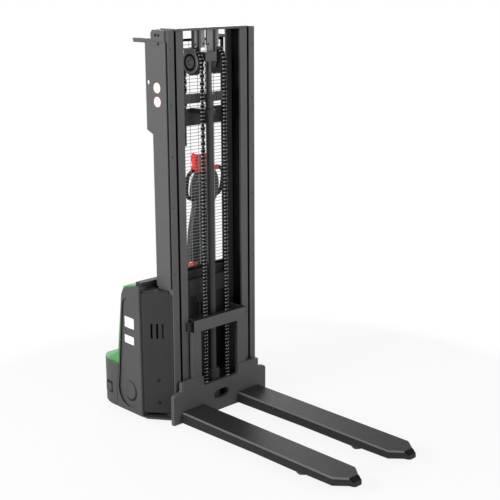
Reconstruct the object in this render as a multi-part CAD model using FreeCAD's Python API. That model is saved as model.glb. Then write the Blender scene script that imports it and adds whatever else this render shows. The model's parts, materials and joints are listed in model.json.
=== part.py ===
import FreeCAD, Part
import math
import os

os.makedirs("parts", exist_ok=True)

# Walk-behind electric stacker: a two-stage mast with one central lift cylinder, forks that
# nest over two support legs, a steered drive wheel under an offset tiller, and a caster.
# Millimetres. +X points to the fork tips, +Y to the operator's left, +Z up, floor at z = 0.

# Driving sizes of the whole machine
FORK_LENGTH = 1150.0      # front face of the carriage plate to the fork tips
REAR_REACH = 610.0        # front face of the carriage plate to the rear cover
BODY_WIDTH = 800.0
MAST_HEIGHT = 2062.0

PLATE_X = (REAR_REACH - FORK_LENGTH) / 2.0   # front face of the carriage plate
SIDE_Y = BODY_WIDTH / 2.0
RUN_GAP = 5.0             # between pieces that move past each other
PIN_GAP = 0.08            # radial clearance of a shaft or pin in its bore
SEAM = 2.0                # between moulded covers
ROOT = 1.0                # how far a fused piece reaches into its neighbour

# Mast rails
RAIL_FRONT = PLATE_X - 38.0
RAIL_DEPTH = 120.0
RAIL_REAR = RAIL_FRONT - RAIL_DEPTH
RAIL_WEB = 12.0
RAIL_FLANGE = 14.0
OUTER_RAIL_Y = 294.0      # outer face of the fixed rail
OUTER_RAIL_WIDTH = 42.0
STAGE_GAP = 11.0          # between fixed and moving rails
INNER_RAIL_Y = OUTER_RAIL_Y - OUTER_RAIL_WIDTH - STAGE_GAP
INNER_RAIL_WIDTH = 49.0
INNER_RAIL_LIP = INNER_RAIL_Y - INNER_RAIL_WIDTH
OUTER_RAIL_TOP = MAST_HEIGHT - 4.0
INNER_RAIL_TOP = MAST_HEIGHT - 12.0
HEAD_PLATE_T = 12.0

# Support legs and their load rollers
LEG_Y = 202.5             # centre line of leg and fork
LEG_WIDTH = 124.0
LEG_TOP = 72.0
LEG_BOTTOM = 22.0
LEG_CHEEK = 12.0          # thickness of the forked end beside the roller
ROLLER_X = PLATE_X + 812.0
ROLLER_D = 74.0
ROLLER_WIDTH = 88.0
ROLLER_BORE = 20.0
ROLLER_ROOM = 8.0         # space round the roller in the leg
LEG_TIP = ROLLER_X + 50.0
LEG_IN = LEG_Y - LEG_WIDTH / 2.0
LEG_OUT = LEG_Y + LEG_WIDTH / 2.0

# Forks
FORK_WIDTH = 166.0
FORK_TOP = 86.0
FORK_PLATE = 6.0
FORK_WALL = 8.0
FORK_HEEL_DEPTH = 60.0    # height of the side wall at the plate
FORK_TIP_DEPTH = 41.0
FORK_BLUNT = 6.0          # how far the tip's lower edge is above the side wall's
FORK_NOSE = 94.0
FORK_NOSE_WIDTH = 100.0
FORK_NOSE_DROP = 26.0
FORK_EDGE = 7.0           # rounding of the long upper edges
FORK_NOSE_WALL = 10.0     # closed part of the channel before the nose

# Carriage
PLATE_T = 24.0
PLATE_BOTTOM = 22.0
LOBE_Y = 337.0
LOBE_TOP = 180.0
LOBE_ROUND = 12.0
SHOULDER_Y = 276.0
SHOULDER_TOP = 247.0
SHOULDER_STEP = 40.0
DIP_Y = 125.0
DIP_TOP = 196.0
DIP_RAMP = 12.0
SLOT_W = 106.0
SLOT_H = 50.0
SLOT_Z = 115.0
UPRIGHT_Y = 135.0
UPRIGHT_WIDTH = 68.0
UPRIGHT_T = 20.0
CROSSBAR_Z = 500.0
CROSSBAR_H = 65.0
CHEEK_Y = 168.0           # inner face of the carriage's roller plates
CHEEK_T = 14.0
CHEEK_BACK = 92.0         # how far the roller plates reach behind the carriage plate
CHEEK_BOTTOM = 112.0
CARRIAGE_ROLLERS_Z = (175.0, 490.0)
STUB_D = 30.0
GUIDE_ROLLER_SIDES = 32
STAGE_ROLLER_RISE = 10.0  # moving rail's guide roller above the rail's foot
LEG_ROOM = RUN_GAP + 2.0  # round the legs in the carriage plate
ROLLER_SIDE_GAP = 2.0     # between a guide roller and the web of its rail
MAST_ROLLER_D = RAIL_DEPTH - 2.0 * RAIL_FLANGE - 1.0

# Mast head and lift chains, with heights set down from the top
CHAIN_Y = 77.0
CHAIN_WIDTH = 22.0
CHAIN_T = 12.0
CHAIN_STEP = 76.2         # one wide and one narrow part, for four pitches of 19.05
CHAIN_WIDE = 0.5          # share of a step that is wide
CHAIN_WRAP_STEPS = 11     # straight steps round half a wheel
CHAIN_INNER_WIDTH = 13.0
CHAIN_FRONT_X = PLATE_X - 34.0
CHAIN_WHEEL_R = 68.0      # pitch radius
CHAIN_WHEEL_X = CHAIN_FRONT_X - CHAIN_WHEEL_R
CHAIN_WHEEL_Z = MAST_HEIGHT - 172.0
CHAIN_WHEEL_WIDTH = 30.0
CHAIN_WHEEL_RIM = 3.0
CHAIN_WHEEL_RIM_R = CHAIN_WHEEL_R - 3.0
CHAIN_WHEEL_SIDES = 20
CHAIN_SEAT = 1.6          # straight links stand this far off the wheel's round seat
CHAIN_REAR_X = CHAIN_WHEEL_X - CHAIN_WHEEL_R
CHAIN_LOW_Z = 190.0
CHAIN_LUG_HALF = 14.0
CHAIN_LUG_H = 45.0
HUB_D = 40.0
HUB_REACH = 11.0          # how far the hub stands out of the chain wheel
ANCHOR_LUG_RISE = 30.0    # chain lugs above the foot of their tie
ANCHOR_LUG_H = 30.0

# Lift cylinder
CYL_X = PLATE_X - 68.0
BARREL_D = 40.0
ROD_D = 28.0
BARREL_BASE_D = 72.0
BARREL_BASE_BOTTOM = LEG_TOP
BARREL_BASE_TOP = 246.0
BARREL_TOP = MAST_HEIGHT - 352.0
BARREL_SIDES = 24         # flats on the barrel's foot and gland
GLAND_D = 46.0
GLAND_H = 20.0
ROD_TOP = CHAIN_WHEEL_Z + 3.0
ROD_BOTTOM = 230.0
BORE_FLOOR = 4.0          # oil space under the rod
CROSSHEAD_H = 48.0
CROSSHEAD_Y = 37.0
HANGER_Y = CHAIN_Y - CHAIN_WHEEL_WIDTH / 2.0 - ROLLER_SIDE_GAP   # outer face of the hanging plates
HANGER_T = 12.0
HANGER_LOW = 34.0         # how far the plates reach below the wheel's centre
HANGER_HALF = 30.0        # half width of the plates
HANGER_TIP = 18.0         # half width at their lower end
STRAP_IN = 10.0           # inner edge of the straps above the wheels
STRAP_OUT = CHAIN_Y + 2.0

# Ties of both stages and the side plates
INNER_TIE_Z = MAST_HEIGHT - 386.0
INNER_TIE_H = 50.0
INNER_LOW_TIE_RISE = 10.0
INNER_LOW_TIE_H = 80.0
CHAIN_ANCHOR_Z = INNER_TIE_Z - 16.0
TIE_T = 14.0
TIE_H = 90.0
TIE_FRONT = RAIL_REAR - 26.0
TIE_BOTTOM = CHAIN_ANCHOR_Z - 104.0
ANCHOR_BOLT_D = 12.0
ANCHOR_BOLT_LOW = 100.0
CLAMP_H = 26.0
CLAMP_D = 60.0
CLAMP_Z = TIE_BOTTOM + 68.0
LOW_TIE_Z = 640.0
SIDE_PLATE_T = 6.0
SIDE_PLATE_FRONT = PLATE_X - 50.0
SIDE_PLATE_REAR = PLATE_X - 206.0
SIDE_PLATE_NARROW = PLATE_X - 160.0
SIDE_PLATE_RISE = 30.0    # foot of the side plate above the angled panel
SIDE_PLATE_STEP = MAST_HEIGHT - 520.0
SIDE_PLATE_RAMP = 20.0
EYE_X = PLATE_X - 188.0
EYE_Z = MAST_HEIGHT - 262.0
EYE_D = 22.0

# Guard screen behind the mast
GUARD_X = PLATE_X - 218.0
GUARD_Y = 236.0
GUARD_BOTTOM = 775.0
GUARD_TOP = MAST_HEIGHT - 62.0
GUARD_FRAME = 14.0
GUARD_WIRE = 3.2
GUARD_ROWS = 45.0
GUARD_COLUMNS = 58.0
WIRE_GAP = 0.4            # rows lie this far in front of the columns
BRACKET_TOP = MAST_HEIGHT - 6.0
BRACKET_FRONT = PLATE_X - 52.0
BRACKET_STEP = PLATE_X - 153.0
BRACKET_REAR = PLATE_X - 293.0
BRACKET_T = 15.0
BRACKET_DEPTH = 12.0
BRACKET_CHAMFER = 12.0

# Drive unit, tiller and caster
STEER_X = PLATE_X - 485.0
STEER_Y = SIDE_Y - 150.0
DRIVE_D = 210.0
DRIVE_WIDTH = 70.0
DRIVE_BORE = 30.0
AXLE_PLATE_Z = 240.0
AXLE_PLATE_T = 12.0
STEER_RING_D = 150.0
RING_LIP = 6.0            # steering ring above and below the axle plate
CASE_T = 30.0
CASE_D = 110.0
CASE_X = 45.0
COLUMN_D = 70.0
COLUMN_ROOM = 14.0        # hole in the covers wider than the column
CASE_BOTTOM = 60.0
ROOF_GAP = RUN_GAP + 3.0  # over the drive wheel
TILT_X = PLATE_X - 520.0
TILT_Z = 392.0
TILT_PIN_D = 20.0
EAR_GAP = 58.0
EAR_T = 10.0
BRACKET_PLATE_Z = TILT_Z - 52.0
BRACKET_PLATE_T = 12.0
BRACKET_PLATE_Y = 45.0
BRACKET_PLATE_REAR = 28.0 # behind the tilt pin
BRACKET_PLATE_FRONT = 40.0
EAR_FRONT = 30.0
EAR_TOP = 16.0            # ears above the pin
EAR_TOP_HALF = 20.0
TILLER_LEAN = 9.0
BOSS_D = 44.0
BOSS_GAP = 2.0            # between the boss and the ears
NECK_LENGTH = 62.0
NECK_LAP = 20.0           # the neck reaches this far into the arm
NECK_T = 40.0
ARM_LENGTH = 700.0
ARM_HALF = 80.0
ARM_T = 52.0
ARM_FOOT_HALF = 49.0
ARM_FULL_AT = 155.0       # height where the arm has its full width
ARM_ROUND = 12.0
HEAD_HALF = 84.0
HEAD_TAPER = 35.0
HEAD_BODY = 150.0
HEAD_T = 68.0
HEAD_CHAMFER = 10.0
GRIP_HALF = 143.0
GRIP_BAR = 22.0
GRIP_T = 28.0
GRIP_LOW = 17.0           # the loops start this far up the head
GRIP_HIGH = 199.0
GRIP_SLOPE = 28.0
GRIP_GAP_LOW = 4.0
SWITCH_HALF = 46.0
SWITCH_H = 90.0
SWITCH_CHAMFER = 20.0
CASTER_X = PLATE_X - 480.0
CASTER_Y = 128.0 - SIDE_Y
CASTER_D = 125.0
CASTER_WIDTH = 50.0
CASTER_TRAIL = 36.0
CASTER_BORE = 14.0
CASTER_TOP = 177.0
CASTER_PIN_D = 24.0
CASTER_PIN_DROP = 26.0
CASTER_CHEEK_T = 6.0
CASTER_SIDE_ROOM = 4.0    # between wheel and cheeks
CROWN_REAR = 34.0
CROWN_FRONT = 32.0
CROWN_DROP = 28.0         # under side of the crown below the post
CHEEK_TIP = 18.0          # half width of the cheeks at the axle
CHEEK_UNDER = 14.0        # and how far they reach below it
POST_HALF = 38.0

# Body: base frame, bulkhead, covers, hood and panels
FLOOR_BOTTOM = 28.0
FLOOR_T = 12.0
FLOOR_TOP = FLOOR_BOTTOM + FLOOR_T
FRAME_Y = SIDE_Y - 15.0
MAST_FOOT_REAR = 20.0     # beam between the mast feet, inside the rails' depth
MAST_FOOT_FRONT = 4.0
AXLE_PLATE_INSET = 30.0   # inside the lower cover
COVER_FRONT = PLATE_X - 190.0
COVER_REAR = PLATE_X - 415.0        # rear edge of the side cover at its foot
COVER_LEAN = 71.0                   # how far that edge leans forward at the shoulder
COVER_SHOULDER = 682.0
COVER_BOTTOM = 34.0
COVER_TOP = 762.0
COVER_TOP_DROP = 34.0               # fall of the top towards the rear
COVER_TOP_RUN = 22.0                # from the shoulder to the sloping top
COVER_ROUND = 10.0
# Recess in the side cover: (distance behind the carriage plate, height)
RECESS = ((334.0, 639.0), (322.0, 664.0), (302.0, 679.0), (288.0, 672.0), (213.0, 138.0), (222.0, 96.0),
          (267.0, 72.0), (345.0, 96.0), (378.0, 140.0), (387.0, 191.0))
RECESS_DEPTH = 3.0
DISC_X = PLATE_X - 295.0            # raised disc in the recess
DISC_Z = 157.0
DISC_D = 100.0
DISC_H = 2.0
DISC_SIDES = 24
COVER_T = 5.0
BULKHEAD_X = PLATE_X - 355.0
BULKHEAD_T = 10.0
BULKHEAD_TOP = 280.0
HOOD_Y = SIDE_Y - 44.0
HOOD_T = 8.0
HOOD_PROUD = 22.0                   # hood behind the side covers
HOOD_RISE = 14.0                    # hood above the side covers
HOOD_BAND_Y = SIDE_Y - 14.0         # hood's edge that shows round the side covers
HOOD_DIP = 10.0                     # fall of the hood towards its front edge
HOOD_TOP_IN = 8.0                   # shoulder further forward than the lean alone
HOOD_TOP_RUN = 26.0                 # from the shoulder to the sloping top
HOOD_FRONT = COVER_FRONT - 40.0
HOOD_STEP = 350.0
FOOT_DROP = 58.0
FOOT_LENGTH = 92.0
FOOT_Y = SIDE_Y - 12.0
WELL_R = 92.0                       # round well in the hood where the tiller bracket turns
WELL_BELOW = 64.0
WELL_HOLE_H = 100.0
BODY_REAR = PLATE_X - REAR_REACH
LOW_TOP = 285.0
LOW_CORNER = 165.0
LOW_CORNER_STEPS = 8
LOW_RAKE = 6.0
LOW_SLOPE = 30.0
BATTERY_Y = 250.0
BATTERY_TOP = 560.0
BATTERY_GAP = 20.0        # to the front wall
PANEL_TOP = 722.0
PANEL_BOTTOM = 66.0
PANEL_T = 4.0
PANEL_FLANGE_X = PLATE_X - 46.0
PANEL_BEND_X = PLATE_X - 62.0
PANEL_REAR_X = PLATE_X - 165.0
PANEL_SLOTS = (0.3, 0.52, 0.74)     # places of the slots along the slanted face
PANEL_SLOT_W = 8.0
PANEL_SLOT_Z = (481.0, 556.0)
PANEL_SLOT_REACH = 20.0   # half depth of the slot's cut
PANEL_FLARE = 7.0         # panel's rear edge outside the frame
PANEL_LEDGE_DROP = 20.0   # ledge below the panel's top
WALL_SLOTS_Y = (6.0, 32.0)
WALL_SLOT_Z = (512.0, 586.0)
WALL_BOTTOM = 70.0
BAR_RISE = 6.0            # bar on top of the front wall, above the covers
BAR_H = 28.0
STOP_X = PLATE_X - 255.0
STOP_Y = 35.0
STOP_D = 50.0
STOP_BASE_D = 35.0
STOP_SIDES = 24
STOP_BASE_H = 26.0
STOP_CAP_H = 16.0


def box(x0, x1, y0, y1, z0, z1):
    """Block between two corners."""
    low = FreeCAD.Vector(min(x0, x1), min(y0, y1), min(z0, z1))
    return Part.makeBox(abs(x1 - x0), abs(y1 - y0), abs(z1 - z0), low)


def rod(start, length, diameter, axis):
    """Round bar from a start point along an axis."""
    return Part.makeCylinder(diameter / 2.0, length, FreeCAD.Vector(*start), FreeCAD.Vector(*axis))


def nut_bar(start, length, across, axis, sides=6):
    """Bar with flat sides from a start point along an axis."""
    run = FreeCAD.Vector(*axis)
    first = run.cross(FreeCAD.Vector(0, 0, 1))
    first = first.normalize() if first.Length > 0.5 else FreeCAD.Vector(1, 0, 0)
    second = run.cross(first)
    radius = across / 2.0 / math.cos(math.pi / sides)
    ring = []
    for i in range(sides):
        turn = 2.0 * math.pi * (i + 0.5) / sides
        spoke = first * (radius * math.cos(turn)) + second * (radius * math.sin(turn))
        ring.append(FreeCAD.Vector(*start) + spoke)
    return Part.Face(Part.makePolygon(ring + ring[:1])).extrude(run * length)


def prism(points, vector):
    """Solid from a flat outline pushed along a vector."""
    vectors = [FreeCAD.Vector(*p) for p in points]
    return Part.Face(Part.makePolygon(vectors + vectors[:1])).extrude(FreeCAD.Vector(*vector))


def side_profile(outline, y0, y1):
    """Solid from (x, z) points, between two y planes."""
    return prism([(x, y0, z) for x, z in outline], (0, y1 - y0, 0))


def front_profile(outline, x0, x1):
    """Solid from (y, z) points, between two x planes."""
    return prism([(x0, y, z) for y, z in outline], (x1 - x0, 0, 0))


def plan_profile(outline, z0, z1):
    """Solid from (x, y) points, between two z planes."""
    return prism([(x, y, z0) for x, y in outline], (0, 0, z1 - z0))


def mirrored(shape):
    """The same shape on the other side of the centre plane."""
    return shape.mirror(FreeCAD.Vector(0, 0, 0), FreeCAD.Vector(0, 1, 0))


def along(edge, axis):
    """True when a straight edge runs along an axis."""
    if len(edge.Vertexes) < 2:
        return False
    run = edge.Vertexes[1].Point.sub(edge.Vertexes[0].Point)
    return run.Length > 1e-6 and abs(abs(run.normalize().dot(FreeCAD.Vector(*axis))) - 1.0) < 1e-6


def round_edges(shape, radius, wanted):
    """Fillet the edges that a test picks."""
    edges = [edge for edge in shape.Edges if wanted(edge)]
    return shape.makeFillet(radius, edges)


def write(name, *solids):
    """One file for each node."""
    flat = [solid for shape in solids for solid in shape.Solids]
    shape = flat[0] if len(flat) == 1 else Part.makeCompound(flat)
    shape.exportStep("parts/%s.step" % name)


def write_pair(name, shape):
    """The left piece and its mirror image on the right."""
    write(name + "_left", shape)
    write(name + "_right", mirrored(shape))


# Rails of both stages: channels that open towards the centre
def rail(outer_y, width, bottom, top):
    solid = box(RAIL_REAR, RAIL_FRONT, outer_y - width, outer_y, bottom, top)
    inside = box(RAIL_REAR + RAIL_FLANGE, RAIL_FRONT - RAIL_FLANGE,
                 outer_y - width, outer_y - RAIL_WEB, bottom, top)
    return solid.cut(inside)


def guide_roller(seat_y, y0, y1, z):
    """Roller and stub shaft that run inside a rail, on a seat at seat_y."""
    middle = (RAIL_FRONT + RAIL_REAR) / 2.0
    roller = nut_bar((middle, y0, z), y1 - y0, MAST_ROLLER_D, (0, 1, 0), GUIDE_ROLLER_SIDES)
    return roller.fuse(nut_bar((middle, seat_y, z), y0 - seat_y + ROOT, STUB_D, (0, 1, 0)))


INNER_BOTTOM = LEG_TOP + 14.0
write_pair("mast_rail", rail(OUTER_RAIL_Y, OUTER_RAIL_WIDTH, LEG_TOP, OUTER_RAIL_TOP))

inner_rail = rail(INNER_RAIL_Y, INNER_RAIL_WIDTH, INNER_BOTTOM, INNER_RAIL_TOP)
stage_roller = guide_roller(INNER_RAIL_Y, INNER_RAIL_Y + RUN_GAP + ROOT,
                            OUTER_RAIL_Y - RAIL_WEB - ROLLER_SIDE_GAP,
                            INNER_BOTTOM + MAST_ROLLER_D / 2.0 + STAGE_ROLLER_RISE)
write_pair("inner_rail", inner_rail.fuse(stage_roller))

# Ties of the fixed mast: the upper one holds the chain anchors and the barrel clamp
anchor_tie = box(TIE_FRONT - TIE_T, TIE_FRONT, -OUTER_RAIL_Y, OUTER_RAIL_Y, TIE_BOTTOM, TIE_BOTTOM + TIE_H)
for side in (-1.0, 1.0):
    middle = side * CHAIN_Y
    lug = box(TIE_FRONT, RAIL_REAR - RUN_GAP, middle - CHAIN_LUG_HALF, middle + CHAIN_LUG_HALF,
              TIE_BOTTOM + ANCHOR_LUG_RISE, TIE_BOTTOM + ANCHOR_LUG_RISE + ANCHOR_LUG_H)
    bolt = nut_bar((CHAIN_REAR_X, middle, TIE_BOTTOM - ANCHOR_BOLT_LOW),
                   CHAIN_ANCHOR_Z - TIE_BOTTOM + ANCHOR_BOLT_LOW, ANCHOR_BOLT_D, (0, 0, 1))
    pad = box(TIE_FRONT, RAIL_REAR, side * OUTER_RAIL_Y, side * (OUTER_RAIL_Y - OUTER_RAIL_WIDTH),
              TIE_BOTTOM, TIE_BOTTOM + TIE_H)
    anchor_tie = anchor_tie.fuse([lug, bolt, pad])
clamp = box(TIE_FRONT, CYL_X, -CLAMP_D / 2.0, CLAMP_D / 2.0, CLAMP_Z, CLAMP_Z + CLAMP_H)
clamp = clamp.fuse(nut_bar((CYL_X, 0, CLAMP_Z), CLAMP_H, CLAMP_D, (0, 0, 1), 12))
clamp = clamp.cut(rod((CYL_X, 0, CLAMP_Z - ROOT), CLAMP_H + 2.0 * ROOT, BARREL_D, (0, 0, 1)))
write("mast_tie_anchor", anchor_tie.fuse(clamp))

low_tie_front = RAIL_REAR - RUN_GAP
low_tie = box(low_tie_front - TIE_T, low_tie_front, -OUTER_RAIL_Y, OUTER_RAIL_Y,
              LOW_TIE_Z, LOW_TIE_Z + TIE_H)
for side in (-1.0, 1.0):
    low_tie = low_tie.fuse(box(low_tie_front, RAIL_REAR, side * OUTER_RAIL_Y,
                               side * (OUTER_RAIL_Y - OUTER_RAIL_WIDTH), LOW_TIE_Z, LOW_TIE_Z + TIE_H))
write("mast_tie_low", low_tie)

# Side plates on the fixed rails, wide at the top, with a lifting eye
side_plate_bottom = PANEL_TOP + SIDE_PLATE_RISE
plate = side_profile([
    (SIDE_PLATE_FRONT, side_plate_bottom), (SIDE_PLATE_FRONT, GUARD_TOP),
    (SIDE_PLATE_REAR, GUARD_TOP), (SIDE_PLATE_REAR, SIDE_PLATE_STEP + SIDE_PLATE_RAMP),
    (SIDE_PLATE_NARROW, SIDE_PLATE_STEP), (SIDE_PLATE_NARROW, side_plate_bottom)],
    OUTER_RAIL_Y, OUTER_RAIL_Y + SIDE_PLATE_T)
eye = rod((EYE_X, OUTER_RAIL_Y - ROOT, EYE_Z), SIDE_PLATE_T + 2.0 * ROOT, EYE_D, (0, 1, 0))
write_pair("mast_side_plate", plate.cut(eye))

# Brackets at the top that hold the guard screen
bracket = side_profile([
    (BRACKET_FRONT, GUARD_TOP), (BRACKET_FRONT, BRACKET_TOP), (BRACKET_STEP + BRACKET_CHAMFER, BRACKET_TOP),
    (BRACKET_STEP, BRACKET_TOP - BRACKET_CHAMFER), (BRACKET_STEP, GUARD_TOP + BRACKET_T),
    (BRACKET_REAR, GUARD_TOP + BRACKET_T), (BRACKET_REAR, GUARD_TOP)],
    OUTER_RAIL_Y, OUTER_RAIL_Y + BRACKET_DEPTH)
shelf = box(BRACKET_REAR, RAIL_REAR - RUN_GAP, GUARD_Y - GUARD_FRAME, OUTER_RAIL_Y,
            GUARD_TOP, GUARD_TOP + BRACKET_T)
write_pair("guard_bracket", bracket.fuse(shelf))

# Guard screen: a frame with rows of wire in front of columns
guard = box(GUARD_X - GUARD_FRAME / 2.0, GUARD_X + GUARD_FRAME / 2.0, -GUARD_Y, GUARD_Y,
            GUARD_BOTTOM, GUARD_TOP)
guard = guard.cut(box(GUARD_X - GUARD_FRAME, GUARD_X + GUARD_FRAME, GUARD_FRAME - GUARD_Y,
                      GUARD_Y - GUARD_FRAME, GUARD_BOTTOM + GUARD_FRAME, GUARD_TOP - GUARD_FRAME))
wires = []
row_count = int((GUARD_TOP - GUARD_BOTTOM) / GUARD_ROWS)
row_step = (GUARD_TOP - GUARD_BOTTOM) / row_count
for i in range(1, row_count):
    z = GUARD_BOTTOM + i * row_step
    wires.append(box(GUARD_X + WIRE_GAP, GUARD_X + WIRE_GAP + GUARD_WIRE, GUARD_FRAME - GUARD_Y - ROOT,
                     GUARD_Y - GUARD_FRAME + ROOT, z - GUARD_WIRE / 2.0, z + GUARD_WIRE / 2.0))
column_count = int(2.0 * GUARD_Y / GUARD_COLUMNS)
column_step = 2.0 * GUARD_Y / column_count
for i in range(1, column_count):
    y = -GUARD_Y + i * column_step
    wires.append(box(GUARD_X - GUARD_WIRE, GUARD_X, y - GUARD_WIRE / 2.0, y + GUARD_WIRE / 2.0,
                     GUARD_BOTTOM + GUARD_FRAME - ROOT, GUARD_TOP - GUARD_FRAME + ROOT))
write("guard_screen", guard.fuse(wires))

# Lift cylinder: hollow barrel on the chassis, rod on the inner mast
barrel = nut_bar((CYL_X, 0, BARREL_BASE_BOTTOM), BARREL_BASE_TOP - BARREL_BASE_BOTTOM, BARREL_BASE_D,
                 (0, 0, 1), BARREL_SIDES)
tube = rod((CYL_X, 0, BARREL_BASE_TOP - ROOT), BARREL_TOP - BARREL_BASE_TOP + ROOT, BARREL_D, (0, 0, 1))
gland = nut_bar((CYL_X, 0, BARREL_TOP - GLAND_H), 2.0 * GLAND_H, GLAND_D, (0, 0, 1), BARREL_SIDES)
barrel = barrel.fuse([tube, gland])
bore_bottom = ROD_BOTTOM - BORE_FLOOR
bore_length = BARREL_TOP + 2.0 * GLAND_H - bore_bottom
bore = rod((CYL_X, 0, bore_bottom), bore_length, ROD_D + 2.0 * PIN_GAP, (0, 0, 1))
write("lift_barrel", barrel.cut(bore))
write("lift_rod", rod((CYL_X, 0, ROD_BOTTOM), ROD_TOP - ROD_BOTTOM, ROD_D, (0, 0, 1)))

# Inner mast: head plate, hanging plates with the rod's crosshead, chain wheels and ties
head_bottom = MAST_HEIGHT - HEAD_PLATE_T
write("head_beam", box(RAIL_REAR, RAIL_FRONT, -INNER_RAIL_Y, INNER_RAIL_Y, head_bottom, MAST_HEIGHT))
crosshead = box(CHAIN_WHEEL_X - HANGER_HALF, CYL_X + ROD_D / 2.0 + RUN_GAP, -CROSSHEAD_Y, CROSSHEAD_Y,
                ROD_TOP, ROD_TOP + CROSSHEAD_H)
wheel_top = CHAIN_WHEEL_Z + CHAIN_WHEEL_R + CHAIN_T / 2.0
for side in (-1.0, 1.0):
    cheek = side_profile([
        (CHAIN_WHEEL_X - HANGER_HALF, head_bottom), (CHAIN_WHEEL_X + HANGER_HALF, head_bottom),
        (CHAIN_WHEEL_X + HANGER_HALF, CHAIN_WHEEL_Z),
        (CHAIN_WHEEL_X + HANGER_TIP, CHAIN_WHEEL_Z - HANGER_LOW),
        (CHAIN_WHEEL_X - HANGER_TIP, CHAIN_WHEEL_Z - HANGER_LOW),
        (CHAIN_WHEEL_X - HANGER_HALF, CHAIN_WHEEL_Z)],
        side * (HANGER_Y - HANGER_T), side * HANGER_Y)
    strap = box(CHAIN_WHEEL_X, CHAIN_WHEEL_X + HANGER_T, side * STRAP_IN, side * STRAP_OUT,
                wheel_top + RUN_GAP, head_bottom)
    link = box(CHAIN_WHEEL_X - HANGER_HALF, CHAIN_WHEEL_X + HANGER_HALF, side * (CROSSHEAD_Y - ROOT),
               side * HANGER_Y, ROD_TOP, ROD_TOP + CROSSHEAD_H)
    crosshead = crosshead.fuse([cheek, strap, link])
write("rod_crosshead", crosshead)

wheels = []
for side in (-1.0, 1.0):
    start_y = CHAIN_Y - CHAIN_WHEEL_WIDTH / 2.0
    layers = [(start_y, CHAIN_WHEEL_RIM, CHAIN_WHEEL_RIM_R),
              (start_y + CHAIN_WHEEL_RIM - ROOT, CHAIN_WHEEL_WIDTH - 2.0 * CHAIN_WHEEL_RIM + 2.0 * ROOT,
               CHAIN_WHEEL_R - CHAIN_T / 2.0 - CHAIN_SEAT),
              (start_y + CHAIN_WHEEL_WIDTH - CHAIN_WHEEL_RIM, CHAIN_WHEEL_RIM, CHAIN_WHEEL_RIM_R),
              (HANGER_Y, CHAIN_WHEEL_WIDTH + HUB_REACH + ROLLER_SIDE_GAP, HUB_D / 2.0)]
    rings = [nut_bar((CHAIN_WHEEL_X, side * y, CHAIN_WHEEL_Z), width, 2.0 * radius, (0, side, 0),
                     CHAIN_WHEEL_SIDES) for y, width, radius in layers]
    wheels.append(rings[0].fuse(rings[1:]))
write("chain_wheels", *wheels)

inner_tie_rear = RAIL_REAR + HEAD_PLATE_T
write("inner_tie_low", box(RAIL_REAR, inner_tie_rear, -INNER_RAIL_LIP, INNER_RAIL_LIP,
                           INNER_BOTTOM + INNER_LOW_TIE_RISE,
                           INNER_BOTTOM + INNER_LOW_TIE_RISE + INNER_LOW_TIE_H))
write("inner_tie_top", box(RAIL_REAR, inner_tie_rear, -INNER_RAIL_LIP, INNER_RAIL_LIP,
                           INNER_TIE_Z, INNER_TIE_Z + INNER_TIE_H))


# Lift chains: front runs to the carriage, wraps round the wheels, rear runs to the fixed mast
def chain_run(x, z0, z1):
    """Both chains between two heights, as wide outer links with narrow inner links between."""
    count = max(1, round((z1 - z0) / CHAIN_STEP))
    step = (z1 - z0) / count
    wide, narrow = CHAIN_WIDTH / 2.0, CHAIN_INNER_WIDTH / 2.0
    right = []
    for i in range(count):
        z = z0 + i * step
        change = z + CHAIN_WIDE * step
        right += [(wide, z), (wide, change), (narrow, change), (narrow, z + step)]
    solids = []
    for side in (-1.0, 1.0):
        one_edge = [(side * CHAIN_Y + y, z) for y, z in right]
        other_edge = [(side * CHAIN_Y - y, z) for y, z in reversed(right)]
        solids.append(front_profile(one_edge + other_edge, x - CHAIN_T / 2.0, x + CHAIN_T / 2.0))
    return solids


write("chain_front", *chain_run(CHAIN_FRONT_X, CHAIN_LOW_Z, CHAIN_WHEEL_Z))
write("chain_rear", *chain_run(CHAIN_REAR_X, CHAIN_ANCHOR_Z, CHAIN_WHEEL_Z))
wraps = []
for side in (-1.0, 1.0):
    arc = []
    for radius, turns in ((CHAIN_WHEEL_R + CHAIN_T / 2.0, range(CHAIN_WRAP_STEPS + 1)),
                          (CHAIN_WHEEL_R - CHAIN_T / 2.0, range(CHAIN_WRAP_STEPS, -1, -1))):
        for i in turns:
            turn = math.pi * i / CHAIN_WRAP_STEPS
            arc.append((CHAIN_WHEEL_X + radius * math.cos(turn), CHAIN_WHEEL_Z + radius * math.sin(turn)))
    wraps.append(side_profile(arc, side * CHAIN_Y - CHAIN_WIDTH / 2.0, side * CHAIN_Y + CHAIN_WIDTH / 2.0))
write("chain_wrap", *wraps)

# Carriage plate with lobes, a dip in the middle, a slot and openings for the legs
leg_hole = LEG_WIDTH / 2.0 + LEG_ROOM
half = [(DIP_Y, DIP_TOP), (DIP_Y + DIP_RAMP, SHOULDER_TOP), (SHOULDER_Y - DIP_RAMP, SHOULDER_TOP),
        (SHOULDER_Y, SHOULDER_TOP - SHOULDER_STEP), (SHOULDER_Y, LOBE_TOP), (LOBE_Y, LOBE_TOP),
        (LOBE_Y, PLATE_BOTTOM), (LEG_Y + leg_hole, PLATE_BOTTOM), (LEG_Y + leg_hole, LEG_TOP + LEG_ROOM),
        (LEG_Y - leg_hole, LEG_TOP + LEG_ROOM), (LEG_Y - leg_hole, PLATE_BOTTOM)]
outline = half + [(-y, z) for y, z in reversed(half)]
carriage_plate = front_profile(outline, PLATE_X - PLATE_T, PLATE_X)
carriage_plate = round_edges(carriage_plate, LOBE_ROUND, lambda e: along(e, (1, 0, 0))
                             and abs(abs(e.CenterOfMass.y) - LOBE_Y) < 0.1)
slot_half = (SLOT_W - SLOT_H) / 2.0
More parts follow.
